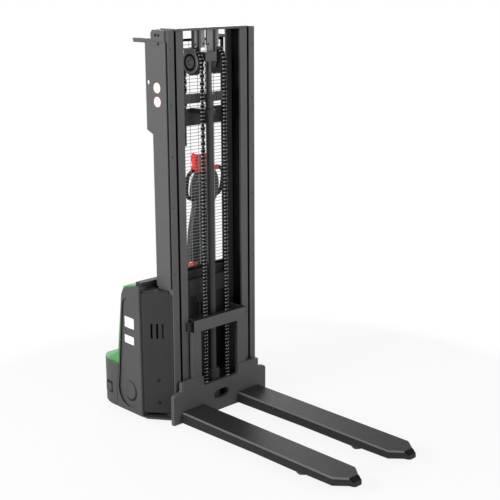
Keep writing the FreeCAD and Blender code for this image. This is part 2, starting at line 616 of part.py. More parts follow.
slot = box(PLATE_X - PLATE_T - ROOT, PLATE_X + ROOT, -slot_half, slot_half,
           SLOT_Z - SLOT_H / 2.0, SLOT_Z + SLOT_H / 2.0)
for side in (-1.0, 1.0):
    slot = slot.fuse(rod((PLATE_X - PLATE_T - ROOT, side * slot_half, SLOT_Z), PLATE_T + 2.0 * ROOT,
                         SLOT_H, (1, 0, 0)))
carriage_plate = carriage_plate.cut(slot)
for side in (-1.0, 1.0):
    lug = box(CHAIN_FRONT_X - CHAIN_T / 2.0, PLATE_X - PLATE_T, side * CHAIN_Y - CHAIN_LUG_HALF,
              side * CHAIN_Y + CHAIN_LUG_HALF, CHAIN_LOW_Z - CHAIN_LUG_H, CHAIN_LOW_Z)
    carriage_plate = carriage_plate.fuse(lug)
write("carriage_plate", carriage_plate)

# Carriage uprights, crossbar and roller plates
upright_out = UPRIGHT_Y + UPRIGHT_WIDTH
carriage_top = CROSSBAR_Z + CROSSBAR_H
upright = box(PLATE_X - UPRIGHT_T, PLATE_X, UPRIGHT_Y, upright_out, SHOULDER_TOP, CROSSBAR_Z)
write_pair("carriage_upright", upright)
crossbar = box(PLATE_X - UPRIGHT_T, PLATE_X, -upright_out, upright_out, CROSSBAR_Z, carriage_top)
write("carriage_crossbar", crossbar)
cheek_front = PLATE_X - PLATE_T
cheek = box(cheek_front - CHEEK_BACK, cheek_front, CHEEK_Y, CHEEK_Y + CHEEK_T, CHEEK_BOTTOM, carriage_top)
for z in CARRIAGE_ROLLERS_Z:
    cheek = cheek.fuse(guide_roller(CHEEK_Y + CHEEK_T, INNER_RAIL_LIP + RUN_GAP,
                                    INNER_RAIL_Y - RAIL_WEB - ROLLER_SIDE_GAP, z))
write_pair("carriage_cheek", cheek)

# Forks: open-bottom channels that taper, with a chamfered nose
fork_in, fork_out = LEG_Y - FORK_WIDTH / 2.0, LEG_Y + FORK_WIDTH / 2.0
fork_tip = PLATE_X + FORK_LENGTH
nose_start = fork_tip - FORK_NOSE
fork = side_profile([
    (PLATE_X, FORK_TOP), (nose_start, FORK_TOP), (fork_tip, FORK_TOP - FORK_NOSE_DROP),
    (fork_tip, FORK_TOP - FORK_TIP_DEPTH + FORK_BLUNT), (nose_start, FORK_TOP - FORK_TIP_DEPTH),
    (PLATE_X, FORK_TOP - FORK_HEEL_DEPTH)], fork_in, fork_out)
nose_side = (FORK_WIDTH - FORK_NOSE_WIDTH) / 2.0
fork = fork.common(plan_profile([
    (PLATE_X, fork_in), (nose_start, fork_in), (fork_tip, fork_in + nose_side),
    (fork_tip, fork_out - nose_side), (nose_start, fork_out), (PLATE_X, fork_out)], 0.0, FORK_TOP))
fork = round_edges(fork, FORK_EDGE, lambda e: along(e, (1, 0, 0))
                   and abs(e.CenterOfMass.z - FORK_TOP) < 0.1)
fork = fork.cut(box(PLATE_X, nose_start - FORK_NOSE_WALL, fork_in + FORK_WALL, fork_out - FORK_WALL,
                    0.0, FORK_TOP - FORK_PLATE))
write_pair("fork", fork)

# Support legs with forked ends for the load rollers
leg = box(RAIL_REAR, LEG_TIP, LEG_IN, LEG_OUT, LEG_BOTTOM, LEG_TOP)
leg = leg.cut(box(ROLLER_X - ROLLER_D / 2.0 - ROLLER_ROOM, LEG_TIP + ROOT, LEG_IN + LEG_CHEEK,
                  LEG_OUT - LEG_CHEEK, 0.0, LEG_TOP + ROOT))
axle = rod((ROLLER_X, LEG_IN + ROOT, ROLLER_D / 2.0), LEG_WIDTH - 2.0 * ROOT, ROLLER_BORE, (0, 1, 0))
write_pair("support_leg", leg.fuse(axle))


def wheel(x, y, width, diameter, bore):
    """Wheel that stands on the floor, centred at x and y, with a bore for its shaft."""
    tread = rod((x, y - width / 2.0, diameter / 2.0), width, diameter, (0, 1, 0))
    return tread.cut(rod((x, y - width, diameter / 2.0), 2.0 * width, bore + 2.0 * PIN_GAP, (0, 1, 0)))


write_pair("load_roller", wheel(ROLLER_X, LEG_Y, ROLLER_WIDTH, ROLLER_D, ROLLER_BORE))

# Base frame under the body: floor plate, cross beam at the mast foot and rear bulkhead
floor = plan_profile([
    (RAIL_FRONT, -OUTER_RAIL_Y), (PANEL_REAR_X, -FRAME_Y), (BULKHEAD_X, -FRAME_Y), (BULKHEAD_X, FRAME_Y),
    (PANEL_REAR_X, FRAME_Y), (RAIL_FRONT, OUTER_RAIL_Y)], FLOOR_BOTTOM, FLOOR_TOP)
foot = box(RAIL_REAR + MAST_FOOT_REAR, RAIL_FRONT - MAST_FOOT_FRONT, -LEG_IN, LEG_IN,
           FLOOR_TOP, BARREL_BASE_BOTTOM)
bulkhead = box(BULKHEAD_X, BULKHEAD_X + BULKHEAD_T, -FRAME_Y, FRAME_Y, FLOOR_TOP, BULKHEAD_TOP)
posts = []
for side in (-1.0, 1.0):
    floor = floor.cut(box(RAIL_REAR, RAIL_FRONT + ROOT, side * LEG_IN, side * LEG_OUT, 0.0, LEG_TOP))
    posts.append(box(RAIL_REAR, RAIL_FRONT, side * LEG_OUT, side * OUTER_RAIL_Y, FLOOR_TOP, LEG_TOP))
write("base_frame", floor.fuse([foot, bulkhead] + posts))

# Axle plate that carries the steering ring and the caster post
axle_rear = BODY_REAR + AXLE_PLATE_INSET
axle_corner = LOW_CORNER - AXLE_PLATE_INSET
axle_plate = plan_profile([
    (BULKHEAD_X, -FRAME_Y), (axle_rear + axle_corner, -FRAME_Y), (axle_rear, axle_corner - FRAME_Y),
    (axle_rear, FRAME_Y - axle_corner), (axle_rear + axle_corner, FRAME_Y), (BULKHEAD_X, FRAME_Y)],
    AXLE_PLATE_Z, AXLE_PLATE_Z + AXLE_PLATE_T)
axle_plate = axle_plate.cut(rod((STEER_X, STEER_Y, AXLE_PLATE_Z - ROOT), AXLE_PLATE_T + 2.0 * ROOT,
                                STEER_RING_D + 2.0 * PIN_GAP, (0, 0, 1)))
write("axle_plate", axle_plate)
post = box(CASTER_X - POST_HALF, CASTER_X + POST_HALF, CASTER_Y - POST_HALF, CASTER_Y + POST_HALF,
           CASTER_TOP, AXLE_PLATE_Z)
pin = rod((CASTER_X, CASTER_Y, CASTER_TOP - CASTER_PIN_DROP), CASTER_PIN_DROP + ROOT,
          CASTER_PIN_D, (0, 0, 1))
write("caster_post", post.fuse(pin))

# Battery and power pack, closed inside the body
write("battery_block", box(BULKHEAD_X + BULKHEAD_T, COVER_FRONT - BATTERY_GAP, -BATTERY_Y, BATTERY_Y,
                           FLOOR_TOP, BATTERY_TOP))

# Side covers: hollow shells whose rear edge leans forward up to a rounded shoulder
cover_rear_top = COVER_REAR + COVER_LEAN
cover_outline = [
    (COVER_FRONT, COVER_BOTTOM), (COVER_FRONT, COVER_TOP),
    (cover_rear_top + COVER_TOP_RUN, COVER_TOP - COVER_TOP_DROP),
    (cover_rear_top, COVER_SHOULDER), (COVER_REAR, COVER_BOTTOM)]
cover = side_profile(cover_outline, HOOD_Y, SIDE_Y)
cover = round_edges(cover, COVER_ROUND, lambda e: abs(e.CenterOfMass.y - SIDE_Y) < 0.1
                    and e.CenterOfMass.z > COVER_BOTTOM + 1.0 and e.CenterOfMass.x < COVER_FRONT - 1.0)
cover_room = side_profile([
    (COVER_FRONT, COVER_BOTTOM), (COVER_FRONT, COVER_TOP - COVER_T - COVER_ROUND),
    (cover_rear_top + COVER_TOP_RUN, COVER_TOP - COVER_TOP_DROP - COVER_T - COVER_ROUND),
    (cover_rear_top + COVER_T, COVER_SHOULDER - COVER_T - COVER_ROUND), (COVER_REAR, COVER_BOTTOM)],
    HOOD_Y, SIDE_Y - COVER_T)
axle_room = box(COVER_REAR, COVER_FRONT, HOOD_Y, SIDE_Y - COVER_T, 0.0, LOW_TOP - 2.0 * COVER_T)
recess_floor = SIDE_Y - RECESS_DEPTH
recess = side_profile([(PLATE_X - x, z) for x, z in RECESS], recess_floor, SIDE_Y + ROOT)
disc = nut_bar((DISC_X, recess_floor - ROOT, DISC_Z), DISC_H + ROOT, DISC_D, (0, 1, 0), DISC_SIDES)
write_pair("side_cover", cover.cut(cover_room.fuse(axle_room)).cut(recess).fuse(disc))

# Centre hood: a shell over the body, with a wide foot over the drive unit and a well for the tiller.
# Its edge stands out behind and above the side covers.
hood_rear = COVER_REAR - HOOD_PROUD
hood_lean = COVER_LEAN * (COVER_SHOULDER - HOOD_STEP) / (COVER_SHOULDER - COVER_BOTTOM)
hood_rear_low = hood_rear + COVER_LEAN - hood_lean
hood_rear_top = hood_rear + COVER_LEAN + HOOD_TOP_IN
hood_top_rear = COVER_TOP - COVER_TOP_DROP + HOOD_RISE
hood_top_front = COVER_TOP + HOOD_RISE - HOOD_DIP


def hood_solid(inset, half_width):
    """Hood from its front edge down to the step, thinner by inset on every side."""
    outline = [
        (HOOD_FRONT, hood_top_front - inset), (hood_rear_top + HOOD_TOP_RUN, hood_top_rear - inset),
        (hood_rear_top + inset, COVER_SHOULDER - inset), (hood_rear_low + inset, HOOD_STEP),
        (hood_rear_low + inset, LOW_TOP), (HOOD_FRONT, LOW_TOP)]
    return side_profile(outline, inset - half_width, half_width - inset)


def cover_space():
    """Space that the side covers take, with the seam round them, up to the machine's full width."""
    outline = [
        (COVER_FRONT, 0.0), (COVER_FRONT, COVER_TOP + SEAM),
        (cover_rear_top + COVER_TOP_RUN - SEAM, COVER_TOP - COVER_TOP_DROP + SEAM),
        (cover_rear_top - SEAM, COVER_SHOULDER), (COVER_REAR - SEAM, COVER_BOTTOM), (COVER_REAR - SEAM, 0.0)]
    right = side_profile(outline, -SIDE_Y, -HOOD_Y)
    return right.fuse(side_profile(outline, HOOD_Y, SIDE_Y))


hood_foot = side_profile([
    (hood_rear_low + HOOD_T, HOOD_STEP), (hood_rear_low, HOOD_STEP),
    (hood_rear_low - FOOT_LENGTH, HOOD_STEP - FOOT_DROP), (hood_rear_low - FOOT_LENGTH, LOW_TOP),
    (hood_rear_low + HOOD_T, LOW_TOP)], -FOOT_Y, FOOT_Y)
hood = hood_solid(0.0, HOOD_BAND_Y).cut(hood_solid(HOOD_T, HOOD_Y)).fuse(hood_foot).cut(cover_space())
column_hole = rod((STEER_X, STEER_Y, LOW_TOP - ROOT), WELL_HOLE_H, COLUMN_D + COLUMN_ROOM, (0, 0, 1))
well = rod((STEER_X, STEER_Y, TILT_Z - WELL_BELOW), 2.0 * WELL_BELOW, 2.0 * WELL_R, (0, 0, 1))
write("centre_hood", hood.cut(column_hole.fuse(well)))

# Front wall behind the mast, with two slots and a bar on top up to the hood
wall = box(COVER_FRONT - COVER_T, COVER_FRONT, -HOOD_Y, HOOD_Y, WALL_BOTTOM, COVER_TOP)
bar_top = COVER_TOP + BAR_RISE
wall = wall.fuse(box(HOOD_FRONT, COVER_FRONT, -HOOD_Y, HOOD_Y, bar_top - BAR_H, bar_top))
for y in WALL_SLOTS_Y:
    wall = wall.cut(box(COVER_FRONT - COVER_T - ROOT, COVER_FRONT + ROOT, y - PANEL_SLOT_W / 2.0,
                        y + PANEL_SLOT_W / 2.0, *WALL_SLOT_Z))
write("front_wall", wall)


# Lower rear cover: a shell with large round corners, open below and towards the body
def low_solid(inset):
    """Cover outline, smaller by inset at the rear, the sides and the top."""
    rear = BODY_REAR + inset
    low_front = COVER_REAR - SEAM
    lean = COVER_LEAN * (LOW_TOP - COVER_BOTTOM) / (COVER_SHOULDER - COVER_BOTTOM)
    corner = []
    for i in range(LOW_CORNER_STEPS + 1):
        turn = math.pi / 2.0 * i / LOW_CORNER_STEPS
        corner.append((rear + (LOW_CORNER - inset) * (1.0 - math.sin(turn)),
                       SIDE_Y - LOW_CORNER + (LOW_CORNER - inset) * math.cos(turn)))
    left = [(low_front + lean, SIDE_Y - inset)] + corner
    block = plan_profile(left + [(x, -y) for x, y in reversed(left)], COVER_BOTTOM, LOW_TOP)
    side = side_profile([
        (low_front, COVER_BOTTOM), (low_front + lean, LOW_TOP - inset), (rear + LOW_SLOPE, LOW_TOP - inset),
        (rear, LOW_TOP - LOW_SLOPE - inset), (rear + LOW_RAKE, COVER_BOTTOM)], -SIDE_Y, SIDE_Y)
    return block.common(side)


low = low_solid(0.0).cut(low_solid(COVER_T))
low = low.cut(rod((STEER_X, STEER_Y, LOW_TOP - 2.0 * COVER_T), 4.0 * COVER_T,
                  COLUMN_D + COLUMN_ROOM, (0, 0, 1)))
write("lower_cover", low)


# Angled steel panels beside the mast foot, with three slots each
def side_panel():
    flange = (PANEL_FLANGE_X, OUTER_RAIL_Y + PANEL_T)
    front = (PANEL_BEND_X, OUTER_RAIL_Y + PANEL_T)
    rear = (PANEL_REAR_X, FRAME_Y)
    back = (COVER_FRONT, FRAME_Y + PANEL_FLARE)
    bends = [flange, front, rear, back]
    inner = [(x, y - PANEL_T) for x, y in bends]
    panel = plan_profile(bends + inner[::-1], PANEL_BOTTOM, PANEL_TOP)
    turn = math.atan2(rear[1] - front[1], rear[0] - front[0])
    for share in PANEL_SLOTS:
        x = front[0] + (rear[0] - front[0]) * share
        y = front[1] + (rear[1] - front[1]) * share
        cut = box(x - PANEL_SLOT_W / 2.0, x + PANEL_SLOT_W / 2.0, y - PANEL_SLOT_REACH, y + PANEL_SLOT_REACH,
                  *PANEL_SLOT_Z)
        cut.rotate(FreeCAD.Vector(x, y, 0), FreeCAD.Vector(0, 0, 1), math.degrees(turn))
        panel = panel.cut(cut)
    ledge_z = PANEL_TOP - PANEL_LEDGE_DROP
    ledge = plan_profile([front, rear, back, (back[0], front[1])], ledge_z, ledge_z + PANEL_T)
    return panel.fuse(ledge)


write_pair("side_panel", side_panel())

# Stop button on the hood, in the hood's slope
hood_slope = (hood_top_front - hood_top_rear) / (HOOD_FRONT - hood_rear_top - HOOD_TOP_RUN)
stop_z = hood_top_front - (HOOD_FRONT - STOP_X + STOP_D / 2.0) * hood_slope
stop = nut_bar((STOP_X, STOP_Y, stop_z), STOP_BASE_H, STOP_BASE_D, (0, 0, 1), STOP_SIDES)
cap = nut_bar((STOP_X, STOP_Y, stop_z + STOP_BASE_H), STOP_CAP_H, STOP_D, (0, 0, 1), STOP_SIDES)
write("stop_button", stop.fuse(cap).cut(hood_solid(0.0, HOOD_Y)))

# Drive unit: steering ring, gear case beside the wheel, axle and column
ring_bottom = AXLE_PLATE_Z - RING_LIP
drive_z = DRIVE_D / 2.0
ring = rod((STEER_X, STEER_Y, ring_bottom), AXLE_PLATE_T + 2.0 * RING_LIP, STEER_RING_D, (0, 0, 1))
case_y = STEER_Y - DRIVE_WIDTH / 2.0 - RUN_GAP
case = box(STEER_X - CASE_X, STEER_X + CASE_X, case_y - CASE_T, case_y, CASE_BOTTOM, ring_bottom)
case = case.fuse(nut_bar((STEER_X, case_y - CASE_T, drive_z), CASE_T, CASE_D, (0, 1, 0), 24))
roof = box(STEER_X - CASE_X, STEER_X + CASE_X, case_y, STEER_Y + CASE_X, DRIVE_D + ROOF_GAP, ring_bottom)
axle = rod((STEER_X, case_y - ROOT, drive_z), DRIVE_WIDTH + RUN_GAP + ROOT, DRIVE_BORE, (0, 1, 0))
column = nut_bar((STEER_X, STEER_Y, AXLE_PLATE_Z), BRACKET_PLATE_Z - AXLE_PLATE_Z,
                 COLUMN_D - SEAM, (0, 0, 1), 24)
write("drive_case", ring.fuse([case, roof, axle, column]))
write("drive_wheel", wheel(STEER_X, STEER_Y, DRIVE_WIDTH, DRIVE_D, DRIVE_BORE))

# Tiller bracket: a plate on the column with two ears and the tilt pin
ear_foot = BRACKET_PLATE_Z + BRACKET_PLATE_T
tilt_plate = box(TILT_X - BRACKET_PLATE_REAR, STEER_X + BRACKET_PLATE_FRONT,
                 STEER_Y - BRACKET_PLATE_Y, STEER_Y + BRACKET_PLATE_Y, BRACKET_PLATE_Z, ear_foot)
ears = []
for side in (-1.0, 1.0):
    ears.append(side_profile([
        (TILT_X - BRACKET_PLATE_REAR, ear_foot), (STEER_X + EAR_FRONT, ear_foot),
        (TILT_X + EAR_TOP_HALF, TILT_Z + EAR_TOP), (TILT_X - EAR_TOP_HALF, TILT_Z + EAR_TOP)],
        STEER_Y + side * EAR_GAP / 2.0, STEER_Y + side * (EAR_GAP / 2.0 + EAR_T)))
tilt_pin = rod((TILT_X, STEER_Y - EAR_GAP / 2.0 - ROOT, TILT_Z), EAR_GAP + 2.0 * ROOT, TILT_PIN_D, (0, 1, 0))
write("tiller_bracket", tilt_plate.fuse(ears + [tilt_pin]))


# Tiller: built upright at the tilt pin, then leaned forward
def lean_forward(shape):
    shape = shape.copy()
    shape.rotate(FreeCAD.Vector(TILT_X, STEER_Y, TILT_Z), FreeCAD.Vector(0, 1, 0), TILLER_LEAN)
    return shape


def tiller_slab(half_outline, thickness):
    """Slab across the tiller from (half width, height above the pin) points."""
    right = [(STEER_Y + y, TILT_Z + z) for y, z in half_outline]
    left = [(STEER_Y - y, TILT_Z + z) for y, z in reversed(half_outline)]
    return front_profile(right + left, TILT_X - thickness / 2.0, TILT_X + thickness / 2.0)


boss_half = EAR_GAP / 2.0 - BOSS_GAP
boss = nut_bar((TILT_X, STEER_Y - boss_half, TILT_Z), 2.0 * boss_half, BOSS_D, (0, 1, 0), 24)
neck = tiller_slab([(boss_half, 0.0), (boss_half, NECK_LENGTH + NECK_LAP)], NECK_T)
shell = tiller_slab([(ARM_FOOT_HALF, NECK_LENGTH), (ARM_HALF, ARM_FULL_AT), (ARM_HALF, ARM_LENGTH)], ARM_T)
shell = round_edges(shell, ARM_ROUND, lambda e: abs(abs(e.CenterOfMass.x - TILT_X) - ARM_T / 2.0) < 0.1
                    and abs(e.CenterOfMass.y - STEER_Y) > ARM_HALF / 2.0)
pin_hole = rod((TILT_X, STEER_Y - EAR_GAP, TILT_Z), 2.0 * EAR_GAP, TILT_PIN_D + 2.0 * PIN_GAP, (0, 1, 0))
write("tiller_arm", lean_forward(boss.fuse([neck, shell]).cut(pin_hole)))

head_top = ARM_LENGTH + HEAD_TAPER + HEAD_BODY
head = tiller_slab([(ARM_HALF, ARM_LENGTH), (HEAD_HALF, ARM_LENGTH + HEAD_TAPER),
                    (HEAD_HALF, head_top - HEAD_CHAMFER), (HEAD_HALF - HEAD_CHAMFER, head_top)], HEAD_T)
write("tiller_head", lean_forward(head))

loops = []
for side in (-1.0, 1.0):
    low_end, high_end = TILT_Z + ARM_LENGTH + GRIP_LOW, TILT_Z + ARM_LENGTH + GRIP_HIGH
    head_side, grip_out = STEER_Y + side * HEAD_HALF, STEER_Y + side * GRIP_HALF
    grip_in = grip_out - side * GRIP_BAR
    loop = front_profile([(head_side, low_end + HEAD_TAPER - GRIP_LOW), (grip_out, low_end + GRIP_SLOPE),
                          (grip_out, high_end - GRIP_SLOPE), (head_side, high_end - HEAD_TAPER / 2.0)],
                         TILT_X - GRIP_T / 2.0, TILT_X + GRIP_T / 2.0)
    gap = front_profile([(head_side, low_end + HEAD_TAPER + GRIP_GAP_LOW),
                         (grip_in, low_end + GRIP_SLOPE + GRIP_BAR),
                         (grip_in, high_end - GRIP_SLOPE - GRIP_BAR),
                         (head_side, high_end - HEAD_TAPER / 2.0 - GRIP_BAR)],
                        TILT_X - GRIP_T, TILT_X + GRIP_T)
    loops.append(lean_forward(loop.cut(gap)))
write("tiller_handles", *loops)
switch = tiller_slab([(SWITCH_HALF, head_top), (SWITCH_HALF, head_top + SWITCH_H - SWITCH_CHAMFER),
                      (SWITCH_HALF - SWITCH_CHAMFER, head_top + SWITCH_H)], ARM_T)
write("belly_switch", lean_forward(switch))

# Caster: swivel fork with a crown, two cheeks and an axle, and its wheel
caster_wheel_x = CASTER_X - CASTER_TRAIL
crown_top = CASTER_TOP - SEAM
crown_half = CASTER_WIDTH / 2.0 + CASTER_SIDE_ROOM + CASTER_CHEEK_T
crown = box(CASTER_X - CROWN_REAR, CASTER_X + CROWN_FRONT, CASTER_Y - crown_half, CASTER_Y + crown_half,
            CASTER_TOP - CROWN_DROP, crown_top)
crown = crown.cut(rod((CASTER_X, CASTER_Y, 0.0), CASTER_TOP, CASTER_PIN_D + 2.0 * PIN_GAP, (0, 0, 1)))
cheeks = []
for side in (-1.0, 1.0):
    cheek_in = CASTER_Y + side * (crown_half - CASTER_CHEEK_T)
    cheeks.append(side_profile([
        (CASTER_X + CROWN_FRONT, CASTER_TOP - CASTER_PIN_DROP),
        (CASTER_X - CROWN_REAR, CASTER_TOP - CASTER_PIN_DROP),
        (caster_wheel_x - CHEEK_TIP, CASTER_D / 2.0 - CHEEK_UNDER),
        (caster_wheel_x + CHEEK_TIP, CASTER_D / 2.0 - CHEEK_UNDER)], cheek_in, CASTER_Y + side * crown_half))
caster_axle = rod((caster_wheel_x, CASTER_Y - crown_half + ROOT, CASTER_D / 2.0), 2.0 * (crown_half - ROOT),
                  CASTER_BORE, (0, 1, 0))
write("caster_fork", crown.fuse(cheeks + [caster_axle]))
write("caster_wheel", wheel(caster_wheel_x, CASTER_Y, CASTER_WIDTH, CASTER_D, CASTER_BORE))
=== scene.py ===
"""Looks of a walk-behind electric stacker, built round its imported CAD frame.

Metres in the frame's own axes: +X to the fork tips, +Y to the operator's left, +Z up, floor at z = 0.
"""

import json
import logging
import math
from contextlib import contextmanager
from dataclasses import dataclass, field
from enum import Enum
from typing import Any, Callable, Iterator, Sequence

import bpy
from mathutils import Matrix, Vector

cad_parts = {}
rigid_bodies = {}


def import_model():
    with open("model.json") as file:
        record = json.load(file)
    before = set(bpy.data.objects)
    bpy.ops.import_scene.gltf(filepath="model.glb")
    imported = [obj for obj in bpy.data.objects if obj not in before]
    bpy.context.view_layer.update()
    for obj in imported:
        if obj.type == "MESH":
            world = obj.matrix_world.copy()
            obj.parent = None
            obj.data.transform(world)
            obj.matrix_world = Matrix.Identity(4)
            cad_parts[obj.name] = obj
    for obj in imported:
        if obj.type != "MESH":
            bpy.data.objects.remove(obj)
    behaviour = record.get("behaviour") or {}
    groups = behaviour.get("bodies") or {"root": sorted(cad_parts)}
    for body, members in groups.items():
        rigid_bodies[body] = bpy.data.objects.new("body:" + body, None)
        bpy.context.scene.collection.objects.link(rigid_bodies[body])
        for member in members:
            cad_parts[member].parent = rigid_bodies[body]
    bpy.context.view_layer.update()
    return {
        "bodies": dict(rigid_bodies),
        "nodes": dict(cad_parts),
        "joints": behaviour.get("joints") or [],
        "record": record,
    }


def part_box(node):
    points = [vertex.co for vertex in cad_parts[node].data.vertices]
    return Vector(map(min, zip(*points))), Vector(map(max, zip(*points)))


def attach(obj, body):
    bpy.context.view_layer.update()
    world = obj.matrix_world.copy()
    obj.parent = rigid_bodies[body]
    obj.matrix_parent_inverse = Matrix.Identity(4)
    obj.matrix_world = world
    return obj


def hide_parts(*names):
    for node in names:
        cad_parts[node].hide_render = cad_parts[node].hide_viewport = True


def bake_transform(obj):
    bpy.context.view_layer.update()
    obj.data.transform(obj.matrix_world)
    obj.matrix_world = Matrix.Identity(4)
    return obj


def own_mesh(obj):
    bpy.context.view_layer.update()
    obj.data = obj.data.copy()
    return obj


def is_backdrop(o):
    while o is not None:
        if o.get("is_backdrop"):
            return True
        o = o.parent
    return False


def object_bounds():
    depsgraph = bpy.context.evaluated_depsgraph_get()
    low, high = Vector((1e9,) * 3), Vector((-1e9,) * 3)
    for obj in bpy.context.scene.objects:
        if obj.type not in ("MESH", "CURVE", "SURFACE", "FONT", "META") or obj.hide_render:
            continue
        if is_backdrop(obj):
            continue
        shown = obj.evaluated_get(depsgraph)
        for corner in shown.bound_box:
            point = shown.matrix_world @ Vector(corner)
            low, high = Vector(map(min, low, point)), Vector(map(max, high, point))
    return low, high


LOG = logging.getLogger("stacker")
MM = 0.001
Piece = bpy.types.Object
Spot = tuple[float, float]
Outline = tuple[Spot, ...]
Place = tuple[float, float, float]
Box = tuple[Place, Place]


class Body(Enum):
    """The moving bodies of the frame."""

    CHASSIS = "chassis"
    INNER_MAST = "inner_mast"
    CARRIAGE = "carriage"
    DRIVE_UNIT = "drive_unit"
    DRIVE_WHEEL = "drive_wheel"
    TILLER = "tiller"
    CASTER = "caster"
    CASTER_WHEEL = "caster_wheel"
    ROLLER_LEFT = "load_roller_left"
    ROLLER_RIGHT = "load_roller_right"


class Plane(Enum):
    """A drawing plane, by the places of its two axes and of its normal among x, y and z."""

    SIDE = (0, 2, 1)
    FRONT = (1, 2, 0)
    PLAN = (0, 1, 2)

    def point(self, across: float, up: float, out: float) -> Vector:
        """Turn drawing coordinates and a height over the plane into a point."""
        found = Vector((0.0, 0.0, 0.0))
        found[self.value[0]], found[self.value[1]], found[self.value[2]] = across, up, out
        return found


class Grain(Enum):
    """How a surface was made: the noise's stretch along x, y and z and its detail."""

    POWDER = ((1.0, 1.0, 1.0), 2.0)
    MOULDED = ((1.0, 1.0, 1.0), 6.0)
    DRAWN_UP = ((1.0, 1.0, 0.03), 3.0)
    CAST = ((1.0, 1.0, 1.0), 8.0)


def linear(colour: str) -> tuple[float, float, float, float]:
    """Turn an sRGB hex colour into linear red, green, blue and a full alpha.

    Args:
        colour: Six hex digits.

    Returns:
        The four channel values.
    """
    channels = [int(colour[i : i + 2], 16) / 255.0 for i in (0, 2, 4)]
    red, green, blue = (c / 12.92 if c <= 0.04045 else ((c + 0.055) / 1.055) ** 2.4 for c in channels)
    return (red, green, blue, 1.0)


def add_node(
    tree: bpy.types.NodeTree, kind: str, settings: dict[Any, Any], links: dict[Any, Any] | None = None
) -> bpy.types.Node:
    """Add one node to a tree.

    Args:
        tree: The node tree.
        kind: The node's type name.
        settings: Values of its properties and of its unlinked inputs, by name or number.
        links: The outputs that its inputs are linked to, by name or number.

    Returns:
        The new node.
    """
    node = tree.nodes.new(kind)
    for key, value in settings.items():
        if isinstance(key, int) or key in node.inputs:
            node.inputs[key].default_value = value
        else:
            setattr(node, key, value)
    for key, source in (links or {}).items():
        tree.links.new(source, node.inputs[key])
    return node


@dataclass(frozen=True)
class Finish:
    """One finish: what the surface is made of, how it was made and how worn it is."""

    name: str
    slot: str
    colour: str
    roughness: float
    grain: Grain = Grain.POWDER
    grain_mm: float = 1.6
    relief: float = 0.12
    metallic: float = 0.0
    coat: float = 0.0
    specular: float = 0.25
    cloud: float = 0.10
    cloud_mm: float = 160.0
    dust: float = 0.0

    def material(self) -> bpy.types.Material:
        """Build the finish's material once and give it back on every later call."""
        found = bpy.data.materials.get(self.name)
        if found:
            return found
        made = bpy.data.materials.new(self.name)
        made.use_nodes = True
        tree = made.node_tree
        tree.nodes.clear()
        stretch, detail = self.grain.value
        place = add_node(tree, "ShaderNodeTexCoord", {})
        fine = add_node(
            tree, "ShaderNodeMapping", {"Scale": [s / (self.grain_mm * MM) for s in stretch]},
            {"Vector": place.outputs["Object"]})
        grain = add_node(
            tree, "ShaderNodeTexNoise", {"Scale": 1.0, "Detail": detail, "Roughness": 0.55},
            {"Vector": fine.outputs["Vector"]})
        cloud = add_node(
            tree, "ShaderNodeTexNoise", {"Scale": 1.0 / (self.cloud_mm * MM), "Detail": 3.0},
            {"Vector": place.outputs["Object"]})
        base = linear(self.colour)
        dark = [c * (1.0 - self.cloud) for c in base[:3]] + [1.0]
        light = [min(1.0, c * (1.0 + self.cloud)) for c in base[:3]] + [1.0]
        tone = add_node(
            tree, "ShaderNodeMix", {"data_type": "RGBA", 6: dark, 7: light}, {0: cloud.outputs["Fac"]})
        colour = tone.outputs[2]
        if self.dust:
            colour = self._dusted(tree, place, grain, colour)
        gloss = add_node(
            tree, "ShaderNodeMapRange",
            {"From Min": 0.3, "From Max": 0.7, "To Min": self.roughness * 0.86, "To Max": self.roughness * 1.14},
            {"Value": grain.outputs["Fac"]})
        bump = add_node(
            tree, "ShaderNodeBump", {"Strength": self.relief, "Distance": self.grain_mm * MM * 0.3},
            {"Height": grain.outputs["Fac"]})
        shader = add_node(
            tree, "ShaderNodeBsdfPrincipled",
            {"Metallic": self.metallic, "Specular IOR Level": self.specular, "Coat Weight": self.coat,
             "Coat Roughness": 0.25},
            {"Base Color": colour, "Roughness": gloss.outputs["Result"], "Normal": bump.outputs["Normal"]})
        add_node(tree, "ShaderNodeOutputMaterial", {}, {"Surface": shader.outputs["BSDF"]})
        return made

    def _dusted(
        self, tree: bpy.types.NodeTree, place: bpy.types.Node, grain: bpy.types.Node, colour: bpy.types.NodeSocket
    ) -> bpy.types.NodeSocket:
        """Add the grey floor dust that settles on the lowest 150 mm.

        Args:
            tree: The material's node tree.
            place: Its texture coordinate node.
            grain: Its fine noise.
            colour: The clean colour.

        Returns:
            The dusted colour.
        """
        split = add_node(tree, "ShaderNodeSeparateXYZ", {}, {"Vector": place.outputs["Object"]})
        low = add_node(
            tree, "ShaderNodeMapRange", {"From Min": 0.0, "From Max": 0.15, "To Min": self.dust, "To Max": 0.0},
            {"Value": split.outputs["Z"]})
        speck = add_node(
            tree, "ShaderNodeMath", {"operation": "MULTIPLY"},
            {0: low.outputs["Result"], 1: grain.outputs["Fac"]})
        mixed = add_node(
            tree, "ShaderNodeMix", {"data_type": "RGBA", 7: linear("8A8580")},
            {0: speck.outputs["Value"], 6: colour})
        return mixed.outputs[2]


